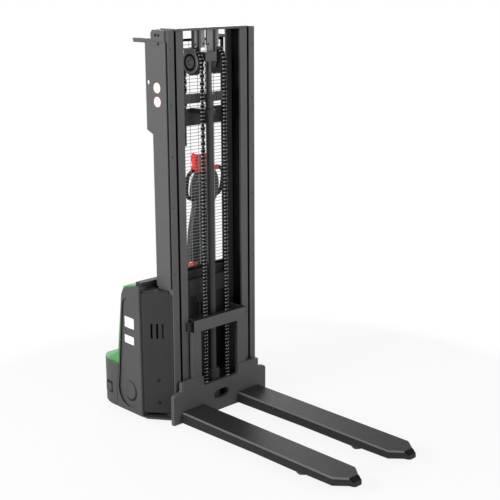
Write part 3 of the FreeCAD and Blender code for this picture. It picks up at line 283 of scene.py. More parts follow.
# Powder coat on welded steel: satin, with the faint orange peel of baked powder
MAST_PAINT = Finish("powder_coat_dark_grey", "mast_steel", "545455", 0.42)
FRAME_PAINT = Finish("powder_coat_near_black", "frame_steel", "363637", 0.46, dust=0.2)
FORK_PAINT = Finish("powder_coat_black_satin", "fork_steel", "2C2C2D", 0.42, specular=0.07, dust=0.1)
# Painted highlight: a light grey on the forks' top chamfers stands in for the glint along their edges
FORK_EDGE_HIGHLIGHT = Finish("fork_edge_painted_highlight", "fork_steel", "6E6E6F", 0.4, specular=0.1)
# Painted shade: a near-black in the scoop behind each fork's lip stands in for the shade that the lip casts
FORK_SCOOP_SHADE = Finish("fork_scoop_painted_shade", "fork_steel", "080808", 0.6, Grain.CAST, 2.0, 0.3, specular=0.1)
PANEL_PAINT = Finish("powder_coat_charcoal_textured", "panel_steel", "2C2C2D", 0.55, grain_mm=2.2, relief=0.25)
CARRIAGE_PAINT = Finish("powder_coat_dark_grey_carriage", "frame_steel", "545455", 0.42, dust=0.1)
# Injection moulded ABS: a fine spark-eroded grain that breaks up the gloss
COVER_ABS = Finish("moulded_abs_grey", "cover_plastic", "4A4A4B", 0.50, Grain.MOULDED, 1.2, 0.22)
HOOD_ABS = Finish("moulded_abs_green", "hood_plastic", "4F9A5A", 0.42, Grain.MOULDED, 1.2, 0.15, cloud=0.05)
TILLER_ABS = Finish("moulded_nylon_black", "tiller_plastic", "3B3B3C", 0.5, Grain.MOULDED, 1.1, 0.25)
RED_ABS = Finish("moulded_abs_red", "red_plastic", "E0120C", 0.3, Grain.MOULDED, 1.4, 0.06, coat=0.3, cloud=0.03)
# Black rubber of the handles and the stop collar; the same near-black is painted shade on the side covers' sunk panel
# walls and groove, and painted shadow behind the latches
RUBBER_AND_SHADE_BLACK = Finish("moulded_rubber_black", "tiller_plastic", "131314", 0.7, Grain.MOULDED, 0.9, 0.3)
# Bare and oiled steels: streaks along the way the bar or the chain was drawn
CHROME = Finish(
    "hard_chrome_ground", "rod_chrome", "454647", 0.38, Grain.DRAWN_UP, 0.8, 0.04, metallic=0.5, cloud=0.03)
BARREL_PAINT = Finish("enamel_black_tube", "barrel_paint", "383839", 0.38, Grain.DRAWN_UP, 1.5, 0.05)
CHAIN_STEEL = Finish("oiled_chain_steel", "chain_steel", "111111", 0.5, Grain.CAST, 2.0, 0.1, metallic=0.3)
# Painted highlight: near-white pins stand in for the glints on the chain's pins
CHAIN_PIN_GLINT = Finish("bright_chain_pin", "chain_steel", "F2F2F2", 0.3, Grain.CAST, 1.0, 0.05, metallic=0.2)
# Painted shade: a near-black that stands in for the shade in the rail channels, at the plate seams, in the hub ring,
# on the crossbar's end faces and in its open ends, and on the wall bar's top; the side panels' screws take it too
SHADE_BLACK = Finish("near_black_painted_shade", "mast_steel", "0C0C0C", 0.5, Grain.DRAWN_UP, 2.0, 0.1, specular=0.1)
# Painted light: a lighter copy of the mast grey for the head's ring plates, hubs and hanging straps, which stand in
# shade
RING_LIT_PAINT = Finish("mast_grey_painted_light", "mast_steel", "868687", 0.42)
IRON = Finish("cast_iron_oiled", "wheel_iron", "333334", 0.5, Grain.CAST, 2.5, 0.35, metallic=0.2)
SCREW_STEEL = Finish("black_oxide_screw", "frame_steel", "171718", 0.45, Grain.CAST, 1.2, 0.1, metallic=0.3)
WIRE = Finish("lacquered_wire", "screen_wire", "9A9A9A", 0.4, Grain.POWDER, 1.0, 0.05, metallic=0.2)
WIRE_FRAME = Finish("lacquered_screen_frame", "screen_wire", "1E1E1F", 0.45)
# Cast polyurethane treads: slightly waxy, with fine mould marks
TREAD = Finish("cast_polyurethane_tread", "drive_tyre", "242425", 0.5, Grain.CAST, 2.0, 0.2, dust=0.5)
ROLLER = Finish("cast_polyurethane_roller", "roller_tread", "3A2F28", 0.45, Grain.CAST, 2.0, 0.15, dust=0.5)
BATTERY = Finish("battery_case_grey", "battery_case", "2C2C2D", 0.55, Grain.MOULDED)
# Printed film on the plates that are left blank
WHITE_FILM = Finish("label_film_white", "", "F2F2F0", 0.4, Grain.MOULDED, 3.0, 0.02, cloud=0.01)
RED_FILM = Finish("label_film_red", "", "D8413A", 0.4, Grain.MOULDED, 3.0, 0.02, cloud=0.01)


def release() -> None:
    """Leave edit mode and deselect everything."""
    if bpy.context.object and bpy.context.object.mode != "OBJECT":
        bpy.ops.object.mode_set(mode="OBJECT")
    bpy.ops.object.select_all(action="DESELECT")


def take(piece: Piece) -> None:
    """Select one piece alone and make it active."""
    release()
    piece.select_set(True)
    bpy.context.view_layer.objects.active = piece


@contextmanager
def editing(piece: Piece, mode: str = "FACE") -> Iterator[None]:
    """Work on a piece in edit mode, with everything in it selected.

    Args:
        piece: The piece to edit.
        mode: VERT, EDGE or FACE.
    """
    take(piece)
    bpy.ops.object.mode_set(mode="EDIT")
    bpy.ops.mesh.select_mode(type=mode)
    bpy.ops.mesh.select_all(action="SELECT")
    yield
    bpy.ops.object.mode_set(mode="OBJECT")


def bevel_edges(piece: Piece, width: float, segments: int, wanted: Callable[[Vector, Vector], bool]) -> None:
    """Round the edges that a test picks.

    Args:
        piece: The piece.
        width: The rounding's width.
        segments: Its number of steps.
        wanted: Says whether an edge with these two ends is rounded.
    """
    take(piece)
    bpy.ops.object.mode_set(mode="EDIT")
    bpy.ops.mesh.select_mode(type="EDGE")
    bpy.ops.object.mode_set(mode="OBJECT")
    mesh = piece.data
    for part in (mesh.vertices, mesh.edges, mesh.polygons):
        part.foreach_set("select", [False] * len(part))
    for edge in mesh.edges:
        edge.select = wanted(*(mesh.vertices[i].co for i in edge.vertices))
    bpy.ops.object.mode_set(mode="EDIT")
    bpy.ops.mesh.bevel(offset=width, segments=segments, affect="EDGES", clamp_overlap=True)
    bpy.ops.object.mode_set(mode="OBJECT")


def block(name: str, low: Sequence[float], high: Sequence[float]) -> Piece:
    """Add a block between two corners."""
    release()
    centre = [(a + b) / 2.0 for a, b in zip(low, high)]
    size = [abs(b - a) for a, b in zip(low, high)]
    bpy.ops.mesh.primitive_cube_add(size=1.0, location=centre, scale=size)
    return named(name)


def named(name: str) -> Piece:
    """Name the object that was just added and put its place into its mesh."""
    piece = bpy.context.object
    piece.name = name
    piece.data.name = name
    take(piece)
    bpy.ops.object.transform_apply(location=True, rotation=True, scale=True)
    return piece


def bar(name: str, start: Sequence[float], end: Sequence[float], radius: float, sides: int = 24) -> Piece:
    """Add a straight round or many-sided bar between two points."""
    release()
    first, last = Vector(start), Vector(end)
    run = last - first
    turn = run.to_track_quat("Z", "Y").to_euler()
    bpy.ops.mesh.primitive_cylinder_add(
        vertices=sides, radius=radius, depth=run.length, location=(first + last) / 2.0, rotation=turn)
    return named(name)


def plate(name: str, plane: Plane, outline: Sequence[Spot], start: float, end: float) -> Piece:
    """Extrude a drawn outline into a plate.

    Args:
        name: The piece's name.
        plane: The plane that the outline is drawn in.
        outline: Its points, in order.
        start: Where the plate starts along the plane's normal.
        end: Where it ends.

    Returns:
        The plate.
    """
    release()
    bpy.ops.mesh.primitive_circle_add(vertices=len(outline), fill_type="NGON")
    piece = named(name)
    for vertex, (across, up) in zip(piece.data.vertices, outline):
        vertex.co = plane.point(across, up, start)
    with editing(piece):
        bpy.ops.mesh.extrude_region_move(TRANSFORM_OT_translate={"value": plane.point(0.0, 0.0, end - start)})
        bpy.ops.mesh.select_all(action="SELECT")
        bpy.ops.mesh.normals_make_consistent(inside=False)
    return piece


def turned(
    name: str, centre: Sequence[float], axis: Sequence[float], profile: Sequence[Spot],
    steps: int = 32
) -> Piece:
    """Turn a closed profile about an axis.

    Args:
        name: The piece's name.
        centre: A point on the axis, where the profile's heights start.
        axis: The axis's direction.
        profile: Closed outline of (radius, height) points.
        steps: How many faces go round.

    Returns:
        The turned piece.
    """
    release()
    bpy.ops.mesh.primitive_circle_add(vertices=len(profile), fill_type="NOTHING")
    piece = named(name)
    for vertex, (radius, height) in zip(piece.data.vertices, profile):
        vertex.co = (radius, 0.0, height)
    with editing(piece, "VERT"):
        bpy.ops.mesh.spin(steps=steps, angle=2.0 * math.pi, center=(0, 0, 0), axis=(0, 0, 1))
        bpy.ops.mesh.select_all(action="SELECT")
        bpy.ops.mesh.remove_doubles(threshold=1e-6)
        bpy.ops.mesh.delete_loose(use_verts=True, use_edges=True)
        bpy.ops.mesh.select_all(action="SELECT")
        bpy.ops.mesh.normals_make_consistent(inside=False)
    turn = Vector(axis).to_track_quat("Z", "Y").to_matrix().to_4x4()
    piece.data.transform(Matrix.Translation(Vector(centre)) @ turn)
    return piece


def modify(piece: Piece, kind: str, **settings: Any) -> Piece:
    """Add a modifier with its settings and apply it."""
    take(piece)
    added = piece.modifiers.new(kind.lower(), kind)
    for key, value in settings.items():
        setattr(added, key, value)
    bpy.ops.object.modifier_apply(modifier=added.name)
    return piece


def soften(piece: Piece, width: float, segments: int = 2, angle: float = 32.0) -> Piece:
    """Round every edge sharper than an angle in degrees, and shade the rounds smooth."""
    modify(piece, "BEVEL", width=width, segments=segments, limit_method="ANGLE", angle_limit=math.radians(angle),
           use_clamp_overlap=True)
    return smooth(piece)


def smooth(piece: Piece, angle: float = 38.0) -> Piece:
    """Shade a piece smooth across edges flatter than an angle in degrees."""
    take(piece)
    bpy.ops.object.shade_smooth_by_angle(angle=math.radians(angle))
    return piece


def carve(piece: Piece, *cutters: Piece) -> Piece:
    """Cut pieces out of a piece, and remove them."""
    for cutter in cutters:
        modify(piece, "BOOLEAN", operation="DIFFERENCE", solver="MANIFOLD", object=cutter)
        bpy.data.objects.remove(cutter)
    return piece


def repeat(piece: Piece, count: int, step: Sequence[float]) -> Piece:
    """Repeat a piece in a row, at a fixed step."""
    return modify(piece, "ARRAY", count=count, use_relative_offset=False, use_constant_offset=True,
                  constant_offset_displace=step)


def moved(piece: Piece, name: str, shift: Sequence[float]) -> Piece:
    """Copy a piece, with its own mesh, to another place."""
    made = piece.copy()
    made.data = piece.data.copy()
    made.name = name
    made.data.transform(Matrix.Translation(Vector(shift)))
    bpy.context.scene.collection.objects.link(made)
    return made


def join(name: str, pieces: Sequence[Piece]) -> Piece:
    """Join pieces into one, which keeps each piece's material."""
    release()
    for piece in pieces:
        piece.select_set(True)
    bpy.context.view_layer.objects.active = pieces[0]
    if len(pieces) > 1:
        bpy.ops.object.join()
    pieces[0].name = name
    return pieces[0]


def tube(name: str, points: Sequence[Sequence[float]], radius: float) -> Piece:
    """Bend a round tube along nine points.

    Args:
        name: The tube's name.
        points: The nine control points of its middle line.
        radius: Its radius.

    Returns:
        The tube, with closed ends.
    """
    release()
    bpy.ops.curve.primitive_nurbs_path_add()
    path = bpy.context.object
    bpy.ops.object.mode_set(mode="EDIT")
    bpy.ops.curve.select_all(action="SELECT")
    bpy.ops.curve.subdivide(number_cuts=1)
    bpy.ops.object.mode_set(mode="OBJECT")
    for control, place in zip(path.data.splines[0].points, points):
        control.co = (*place, 1.0)
    path.data.resolution_u = 6
    path.data.bevel_depth = radius
    path.data.bevel_resolution = 4
    path.data.use_fill_caps = True
    bpy.ops.object.convert(target="MESH")
    piece = named(name)
    with editing(piece, "VERT"):
        bpy.ops.mesh.remove_doubles(threshold=1e-6)
        bpy.ops.mesh.normals_make_consistent(inside=False)
    return smooth(piece, 50.0)


def flowing(points: Sequence[Spot], steps: int = 4) -> list[Spot]:
    """Run a smooth line through drawn points.

    Args:
        points: The points, in order.
        steps: Pieces between two points.

    Returns:
        The line's points, with the first and the last as drawn.
    """
    spots = [Vector(p) for p in points]
    spots = [2.0 * spots[0] - spots[1]] + spots + [2.0 * spots[-1] - spots[-2]]
    line = []
    for i in range(1, len(spots) - 2):
        a, b, c, d = spots[i - 1 : i + 3]
        for k in range(steps):
            t = k / steps
            spot = 0.5 * (2.0 * b + (c - a) * t + (2.0 * a - 5.0 * b + 4.0 * c - d) * t * t
                          + (3.0 * b - a - 3.0 * c + d) * t ** 3)
            line.append(tuple(spot))
    return line + [tuple(spots[-2])]


def twin(piece: Piece, name: str) -> Piece:
    """Copy a piece to the machine's other side, as its mirror image with faces still outwards."""
    made = moved(piece, name, (0.0, 0.0, 0.0))
    made.data.transform(Matrix.Diagonal((1.0, -1.0, 1.0, 1.0)))
    made.data.flip_normals()
    return made


def rounded(corners: Sequence[Place], steps: int = 5) -> list[Spot]:
    """Round an outline's corners with arcs.

    Args:
        corners: (across, up, radius) of each corner, in order.
        steps: Points on each arc, less one.

    Returns:
        The outline's points.
    """
    points: list[Spot] = []
    for i, (x, y, radius) in enumerate(corners):
        here = Vector((x, y))
        before = (Vector(corners[i - 1][:2]) - here).normalized()
        after = (Vector(corners[(i + 1) % len(corners)][:2]) - here).normalized()
        half = before.angle(after) / 2.0
        if radius <= 0.0 or abs(half - math.pi / 2.0) < 1e-3:
            points.append((x, y))
            continue
        middle = here + (before + after).normalized() * (radius / math.sin(half))
        start = here + before * (radius / math.tan(half)) - middle
        sweep = start.angle_signed(here + after * (radius / math.tan(half)) - middle)
        for k in range(steps + 1):
            turn = -sweep * k / steps
            spun = Vector((start.x * math.cos(turn) - start.y * math.sin(turn),
                           start.x * math.sin(turn) + start.y * math.cos(turn)))
            points.append(tuple(middle + spun))
    return points


def dress(piece: Piece, finish: Finish) -> Piece:
    """Give a piece one finish all over."""
    piece.data.materials.clear()
    piece.data.materials.append(finish.material())
    return piece


def accent(piece: Piece, finish: Finish, wanted: Callable[[Vector, Vector], bool]) -> Piece:
    """Give some faces of a dressed piece a second finish.

    Args:
        piece: The piece, with its first finish on it.
        finish: The second finish.
        wanted: Says whether a face with this centre and this normal takes it.

    Returns:
        The piece.
    """
    piece.data.materials.append(finish.material())
    for face in piece.data.polygons:
        if wanted(face.center, face.normal):
            face.material_index = len(piece.data.materials) - 1
    return piece


def settle(piece: Piece, finish: Finish, body: Body, *nodes: str) -> Piece:
    """Put a finished piece on its body and the CAD nodes that it stands for.

    Args:
        piece: The piece, bare or with its finishes on it.
        finish: The finish whose slot it takes, and that a bare piece gets.
        body: The body that it rides on.
        nodes: The CAD nodes that it replaces.

    Returns:
        The piece.
    """
    if not piece.data.materials or piece.data.materials[0] is None:
        dress(piece, finish)
    if any(face.use_smooth for face in piece.data.polygons):
        modify(piece, "WEIGHTED_NORMAL", keep_sharp=True)
    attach(piece, body.value)
    if nodes:
        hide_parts(*nodes)
    LOG.info("%s on %s, %d faces", piece.name, body.value, len(piece.data.polygons))
    return piece


def settle_pair(piece: Piece, finish: Finish, body: Body, *nodes: str) -> None:
    """Settle a left-hand piece and its mirror image, whose names differ by left and right alone.

    Args:
        piece: The left-hand piece, bare or with its finishes on it.
        finish: The finish whose slot both take.
        body: The body that both ride on.
        nodes: The left-hand CAD nodes that the left-hand piece replaces.
    """
    other = twin(piece, piece.name.replace("left", "right"))
    settle(piece, finish, body, *nodes)
    settle(other, finish, body, *(node.replace("left", "right") for node in nodes))


def refined(node: str, name: str, width: float, segments: int = 2, angle: float = 32.0) -> Piece:
    """Copy a CAD node as one clean mesh with rounded edges.

    Args:
        node: The CAD node's name.
        name: The copy's name.
        width: Width of the rounding.
        segments: Steps of the rounding.
        angle: The least angle in degrees that is rounded.

    Returns:
        The copy, with no finish yet.
    """
    source = bpy.data.objects[node]
    made = bpy.data.objects.new(name, source.data.copy())
    made.data.name = name
    made.data.materials.clear()
    bpy.context.scene.collection.objects.link(made)
    with editing(made, "VERT"):
        bpy.ops.mesh.customdata_custom_splitnormals_clear()
        bpy.ops.mesh.remove_doubles(threshold=1e-5)
        bpy.ops.mesh.dissolve_limited(angle_limit=math.radians(0.4))
    for attribute in ("sharp_edge", "sharp_face"):
        if attribute in made.data.attributes:
            made.data.attributes.remove(made.data.attributes[attribute])
    return soften(made, width, segments, angle)


@dataclass
class RefinedNode:
    """A CAD node shown as a refined copy with a finish."""

    node: str
    finish: Finish
    body: Body
    width: float

    def build(self) -> None:
        """Make the copy and put it in the node's place."""
        settle(refined(self.node, self.node + "_shown", self.width), self.finish, self.body, self.node)


@dataclass
class GuardScreen:
    """Welded wire screen behind the mast, in its own frame."""

    row_step: float = 17.5 * MM
    wire: float = 3.0 * MM
    bar: float = 14.0 * MM
    column_step: float = 58.0 * MM

    def build(self) -> None:
        """Model the frame, one row and one column, and repeat them."""
        low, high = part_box("guard_screen")
        x = (low.x + high.x) / 2.0
        frame = block("guard_screen_frame", low, high)
        hole = block("hole", (low.x - MM, low.y + self.bar, low.z + self.bar),
                     (high.x + MM, high.y - self.bar, high.z - self.bar))
        dress(soften(carve(frame, hole), 1.5 * MM), WIRE_FRAME)
        inner = high.z - low.z - 2.0 * self.bar
        rows = round(inner / self.row_step)
        step = inner / rows
        row = bar("row", (x + self.wire * 0.5, low.y + self.bar - MM, low.z + self.bar + step),
                  (x + self.wire * 0.5, high.y - self.bar + MM, low.z + self.bar + step), self.wire / 2.0, 6)
        repeat(smooth(row), rows - 1, (0.0, 0.0, step))
        span = high.y - low.y - 2.0 * self.bar
        columns = round(span / self.column_step)
        pitch = span / columns
        column = bar("column", (x - self.wire * 0.45, low.y + self.bar + pitch, low.z + self.bar - MM),
                     (x - self.wire * 0.45, low.y + self.bar + pitch, high.z - self.bar + MM), self.wire / 2.0, 6)
        repeat(smooth(column), columns - 1, (0.0, pitch, 0.0))
        settle(join("guard_screen_wires", [row, column]), WIRE, Body.CHASSIS)
        settle(frame, WIRE_FRAME, Body.CHASSIS, "guard_screen")


@dataclass
class LiftChains:
    """Leaf chains: link plates edge-on to the front, on pins across the chain."""

    pitch: float = 19.05 * MM
    plate_height: float = 11.6 * MM
    plate_t: float = 2.7 * MM
    pin: float = 3.8 * MM
    pin_half: float = 11.0 * MM
    centre_y: float = 0.077
    outer: tuple[float, ...] = (-9.4 * MM, 0.0, 9.4 * MM)
    inner: tuple[float, ...] = (-2.7 * MM, 2.7 * MM)

    def _link(self, x: float, y: float, z: float, pitch: float, offsets: Sequence[float]) -> list[Piece]:
        """Model the waisted plates of one link, standing up from a pin at z, and then the pin."""
        radius = self.plate_height / 2.0
        outline = []
        for end, first in ((pitch, 0.0), (0.0, math.pi)):
            for k in range(5):
                turn = first - math.radians(30.0) + math.radians(240.0) * k / 4.0
                outline.append((x + radius * math.cos(turn), z + end + radius * math.sin(turn)))
        plates = [plate("plate", Plane.SIDE, outline, y + o - self.plate_t / 2.0, y + o + self.plate_t / 2.0)
                  for o in offsets]
        pin = bar("pin", (x, y - self.pin_half, z), (x, y + self.pin_half, z), self.pin, 8)
        # Painted highlight: the pin is near-white to stand in for its glints
        return [dress(part, CHAIN_STEEL) for part in plates] + [dress(pin, CHAIN_PIN_GLINT)]

    def _strand(self, name: str, x: float, y: float, low: float, high: float) -> Piece:
        """Model two links of a chain and repeat them between two heights."""
        count = max(1, round((high - low) / self.pitch / 2.0))
        pitch = (high - low) / count / 2.0
        outer = self._link(x, y, low, pitch, self.outer)
        inner = self._link(x, y, low + pitch, pitch, self.inner)
        for pin in (outer[-1], inner[-1]):
            smooth(pin)
        return repeat(join(name, outer + inner), count, (0.0, 0.0, 2.0 * pitch))

    def build(self) -> None:
        """Build the front and rear runs of both chains and the stretch round the wheels."""
        for node, anchor, body in (("chain_front", "head", Body.INNER_MAST), ("chain_rear", "foot", Body.CHASSIS)):
            low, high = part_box(node)
            x = (low.x + high.x) / 2.0
            runs = [self._strand("run", x, side * self.centre_y, low.z, high.z) for side in (-1.0, 1.0)]
            run = join(node + "_links", runs)
            if node == "chain_front":
                settle(run, CHAIN_STEEL, body, node)
                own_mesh(run)
            else:
                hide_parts(node)
                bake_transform(run)
        self._wrap()

    def _wrap(self) -> None:
        """Turn links one by one round the chain wheels."""
        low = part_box("chain_wrap")[0]
        front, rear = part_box("chain_front")[0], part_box("chain_rear")[0]
        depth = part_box("chain_front")[1].x - front.x
        centre = Vector(((front.x + depth + rear.x) / 2.0, 0.0, low.z))
        radius = (front.x + depth / 2.0) - centre.x
        count = round(math.pi * radius / self.pitch)
        parts = []
        for side in (-1.0, 1.0):
            for i in range(count):
                offsets = self.outer if i % 2 == 0 else self.inner
                turn = -math.pi * (i + 0.5) / count
                length = 2.0 * radius * math.sin(math.pi / count / 2.0)
                made = self._link(centre.x + radius, side * self.centre_y, centre.z - length / 2.0, length, offsets)
                spin = (Matrix.Translation(centre) @ Matrix.Rotation(turn, 4, "Y") @ Matrix.Translation(-centre))
                for part in made:
                    part.data.transform(spin)
                parts += made
        settle(join("chain_wrap_links", parts), CHAIN_STEEL, Body.INNER_MAST, "chain_wrap")


@dataclass
class SideCovers:
    """Moulded side covers with a sunk panel, a raised disc in a groove and two blank plates each; the panel's walls
    and the groove are painted shade.
    """

    thickness: float = 5.0 * MM
    edge: float = 10.0 * MM
    sink: float = 9.5 * MM
    disc: float = 51.0 * MM
    disc_centre: Spot = (-0.563, 0.158)
    disc_foot: float = -3.0 * MM
    disc_face: float = 2.6 * MM
    disc_rim: Outline = ((0.0, -0.003), (0.0, 0.0004), (-0.0045, 0.0046), (-0.009, 0.0048), (-0.0135, 0.0026))
    groove: Outline = ((-0.012, -0.003), (0.006, -0.003), (0.006, 0.0007), (-0.012, 0.0007))
    panel: tuple[Place, ...] = (
        (-0.598, 0.694, 0.050), (-0.464, 0.648, 0.060), (-0.464, 0.064, 0.090), (-0.667, 0.064, 0.088))
    plates: tuple[tuple[float, float, float, float], ...] = (
        (-0.593, -0.511, 0.512, 0.571), (-0.597, -0.515, 0.424, 0.468))

    def _floor(self, x: float, outer_y: float) -> float:
        """Give the height of the sunk panel's floor, which tilts deeper to the rear."""
        front, rear = self.panel[2][0], self.panel[3][0]
        return outer_y - 0.4 * MM - self.sink * (front - x) / (front - rear)

    def build(self) -> None:
        """Build the left cover and its mirror image on the right."""
        low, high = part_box("side_cover_left")
        outer_y, inner_y = high.y, low.y
        rear, front, top, bottom = low.x, high.x, high.z, low.z
        outline = rounded([
            (front, bottom, 0.006), (front, top, 0.012), (rear + 0.086, top - 0.036, 0.045),
            (rear + 0.071, top - 0.084, 0.030), (rear, bottom, 0.008)])
        cover = plate("side_cover_left_shown", Plane.SIDE, outline, inner_y, outer_y)
        bevel_edges(cover, self.edge, 5, lambda a, b: min(a.y, b.y) > outer_y - 1e-5)
        inset = self.thickness
        room = plate("room", Plane.SIDE, [
            (front - 0.03, bottom - 0.01), (front - 0.03, top - 0.02), (rear + 0.096, top - 0.034 - 0.02),
            (rear + 0.071 + inset, top - 0.098), (rear + inset, bottom - 0.01)],
            inner_y - MM, outer_y - self.edge - 3.0 * MM)
        carve(cover, room)
        cutter = plate("cutter", Plane.SIDE, rounded(self.panel, 8), outer_y - self.sink, outer_y + 0.01)
        for vertex in cutter.data.vertices:
            if vertex.co.y < outer_y:
                vertex.co.y = self._floor(vertex.co.x, outer_y)
        carve(cover, cutter)
        soften(cover, 1.6 * MM, 3, 40.0)
        dress(cover, COVER_ABS)
        middle = Vector((sum(spot[0] for spot in self.panel) / 4.0, 0.0, sum(spot[1] for spot in self.panel) / 4.0))
        # Painted shade: the sunk panel's inward walls that face forward take the near-black
        accent(cover, RUBBER_AND_SHADE_BLACK, lambda at, out: at.y > outer_y - self.sink - 2.0 * MM and abs(out.y) < 0.75
               and out.x > 0.1 and (at - middle).dot(Vector((out.x, 0.0, out.z))) < 0.0)
        x, z = self.disc_centre
        face = self._floor(x, outer_y)
        rim = [(self.disc + inward, height) for inward, height in self.disc_rim]
        disc = turned("disc", (x, face, z), (0, 1, 0), [(0.0, self.disc_foot)] + rim + [(0.0, self.disc_face)], 56)
        dress(smooth(disc, 50.0), COVER_ABS)
        tilt = self.sink / (self.panel[3][0] - self.panel[2][0])
        # Painted shade: a near-black ring lies in the groove round the disc
        groove = turned("groove", (x + 0.004, face + 0.0002, z - 0.003), (tilt, 1, 0),
                        [(self.disc + across, height) for across, height in self.groove], 56)
        strip = block("strip", (front - MM, outer_y - 0.014, bottom + 0.01),
                      (front + 0.007, outer_y - 0.003, top - 0.03))
        cover = join("side_cover_left_shown", [
            cover, disc, dress(smooth(groove), RUBBER_AND_SHADE_BLACK), dress(soften(strip, 1.5 * MM), PANEL_PAINT)])
        settle_pair(cover, COVER_ABS, Body.CHASSIS, "side_cover_left")
        for i, (x0, x1, z0, z1) in enumerate(self.plates):
            film = plate(f"blank_plate_left_{i}", Plane.SIDE, rounded(
                [(x0, z0, 0.004), (x1, z0, 0.004), (x1, z1, 0.004), (x0, z1, 0.004)], 3),
                outer_y - 0.0065, outer_y - 0.0035)
            for vertex in film.data.vertices:
                proud = 0.6 if vertex.co.y > outer_y - 5.0 * MM else -0.8
                vertex.co.y = self._floor(vertex.co.x, outer_y) + proud * MM
            settle_pair(film, WHITE_FILM, Body.CHASSIS)


@dataclass
class SidePanels:
    """Bent steel panels beside the mast foot, each with three tall slots, two screws and a ledge on top."""

    bend: Spot = (-0.332, 0.298)
    rear: Spot = (-0.435, 0.385)
    screw_share: float = 0.5
    screws_z: tuple[float, ...] = (0.250, 0.124)
    slots: tuple[float, ...] = (0.30, 0.52, 0.74)
    slot_width: float = 11.0 * MM
    slot_reach: float = 15.0 * MM
    slot_z: Spot = (0.481, 0.562)
    lid_z: float = 0.690
    ledge: Outline = (
        (-0.458, 0.296), (-0.338, 0.296), (-0.338, 0.302), (-0.440, 0.382), (-0.458, 0.382))
    ledge_z: Spot = (0.714, 0.738)

    def build(self) -> None:
        """Refine the panels, cut their slots, screw them on and lay the ledges over them."""
        for node in ("side_panel_left", "side_panel_right"):
            panel = refined(node, node + "_shown", 1.0 * MM)
            side = 1.0 if node.endswith("left") else -1.0
            carve(panel, *[self._slot(share, side) for share in self.slots])
            dress(smooth(panel), PANEL_PAINT)
            # Painted light: the upward faces above lid_z take the lighter mast grey
            accent(panel, MAST_PAINT, lambda at, out: at.z > self.lid_z and out.z > 0.7)
            settle(panel, PANEL_PAINT, Body.CHASSIS, node)
        x = self.bend[0] + (self.rear[0] - self.bend[0]) * self.screw_share
        y = self.bend[1] + (self.rear[1] - self.bend[1]) * self.screw_share
        out = Vector((self.rear[1] - self.bend[1], self.bend[0] - self.rear[0], 0.0)).normalized()
        screws = [dress(sunk_screw((x, y, z), out, 8.5 * MM), SHADE_BLACK) for z in self.screws_z]
        settle_pair(join("panel_screws_left", screws), SHADE_BLACK, Body.CHASSIS)
        ledge = soften(plate("panel_ledge_left", Plane.PLAN, self.ledge, *self.ledge_z), 1.0 * MM)
        settle_pair(ledge, PANEL_PAINT, Body.CHASSIS)

    def _slot(self, share: float, side: float) -> Piece:
        """Model the cutter of one tall slot, at a share of the slanted face."""
        along = Vector((self.rear[0] - self.bend[0], self.rear[1] - self.bend[1])).normalized()
        out = Vector((along.y, -along.x))
        middle = Vector(self.bend) + (Vector(self.rear) - Vector(self.bend)) * share
        outline = [middle + along * (self.slot_width / 2.0) * a + out * self.slot_reach * b
                   for a, b in ((-1, -1), (1, -1), (1, 1), (-1, 1))]
        return plate("slot", Plane.PLAN, [(spot.x, side * spot.y) for spot in outline], *self.slot_z)


@dataclass
class FixedMast:
    """Fixed rails with set screws, and side plates with a strip of painted shade at their front and two blank discs
    each.
    """

    screw_y: float = 0.279
    screws_z: tuple[float, ...] = (1.965, 1.694, 1.436, 1.177, 0.829)
    discs: Outline = ((-0.389, 1.776), (-0.388, 1.707))
    disc: float = 27.5 * MM
    gap_shade: tuple[float, float, float, float] = (0.293, 0.2948, 0.752, 2.000)
    gap_shade_back: float = 3.5 * MM
    inside: float = 0.291

    def build(self) -> None:
        """Refine the rails and plates, and add what is fastened to them."""
        for side in ("left", "right"):
            for node, width in (("mast_rail_", 3.0 * MM), ("mast_side_plate_", 0.8 * MM)):
                piece = dress(refined(node + side, node + side + "_shown", width, 3), MAST_PAINT)
                # Painted shade: the inward faces of the rail channels and plates take the near-black
                accent(piece, SHADE_BLACK, lambda at, out: abs(at.y) < self.inside and abs(out.y) > 0.7)
                settle(piece, MAST_PAINT, Body.CHASSIS, node + side)
        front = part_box("mast_rail_left")[1].x
        screws = [sunk_screw((front, self.screw_y, z), Vector((1, 0, 0)), 4.2 * MM) for z in self.screws_z]
        settle_pair(join("rail_screws_left", screws), SCREW_STEEL, Body.CHASSIS)
        # Painted shade: a near-black strip where the side plate meets the rail's front
        start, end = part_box("mast_side_plate_left")[1].x, front - self.gap_shade_back
        gap_shade = block("plate_seam_left", (start, self.gap_shade[0], self.gap_shade[2]), (end, self.gap_shade[1], self.gap_shade[3]))
        settle_pair(gap_shade, SHADE_BLACK, Body.CHASSIS)
        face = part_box("mast_side_plate_left")[1].y
        parts = []
        for x, z in self.discs:
            ring = turned("ring", (x, face, z), (0, 1, 0), [
                (0.0, -0.0005), (self.disc, -0.0005), (self.disc, 0.0004), (0.0, 0.0004)], 48)
            film = turned("film", (x, face, z), (0, 1, 0), [
                (0.0, 0.0), (self.disc - 2.2 * MM, 0.0), (self.disc - 2.2 * MM, 0.0007), (0.0, 0.0007)], 48)
            parts += [dress(ring, RED_FILM), dress(film, WHITE_FILM)]
        settle_pair(join("blank_discs_left", parts), WHITE_FILM, Body.CHASSIS)


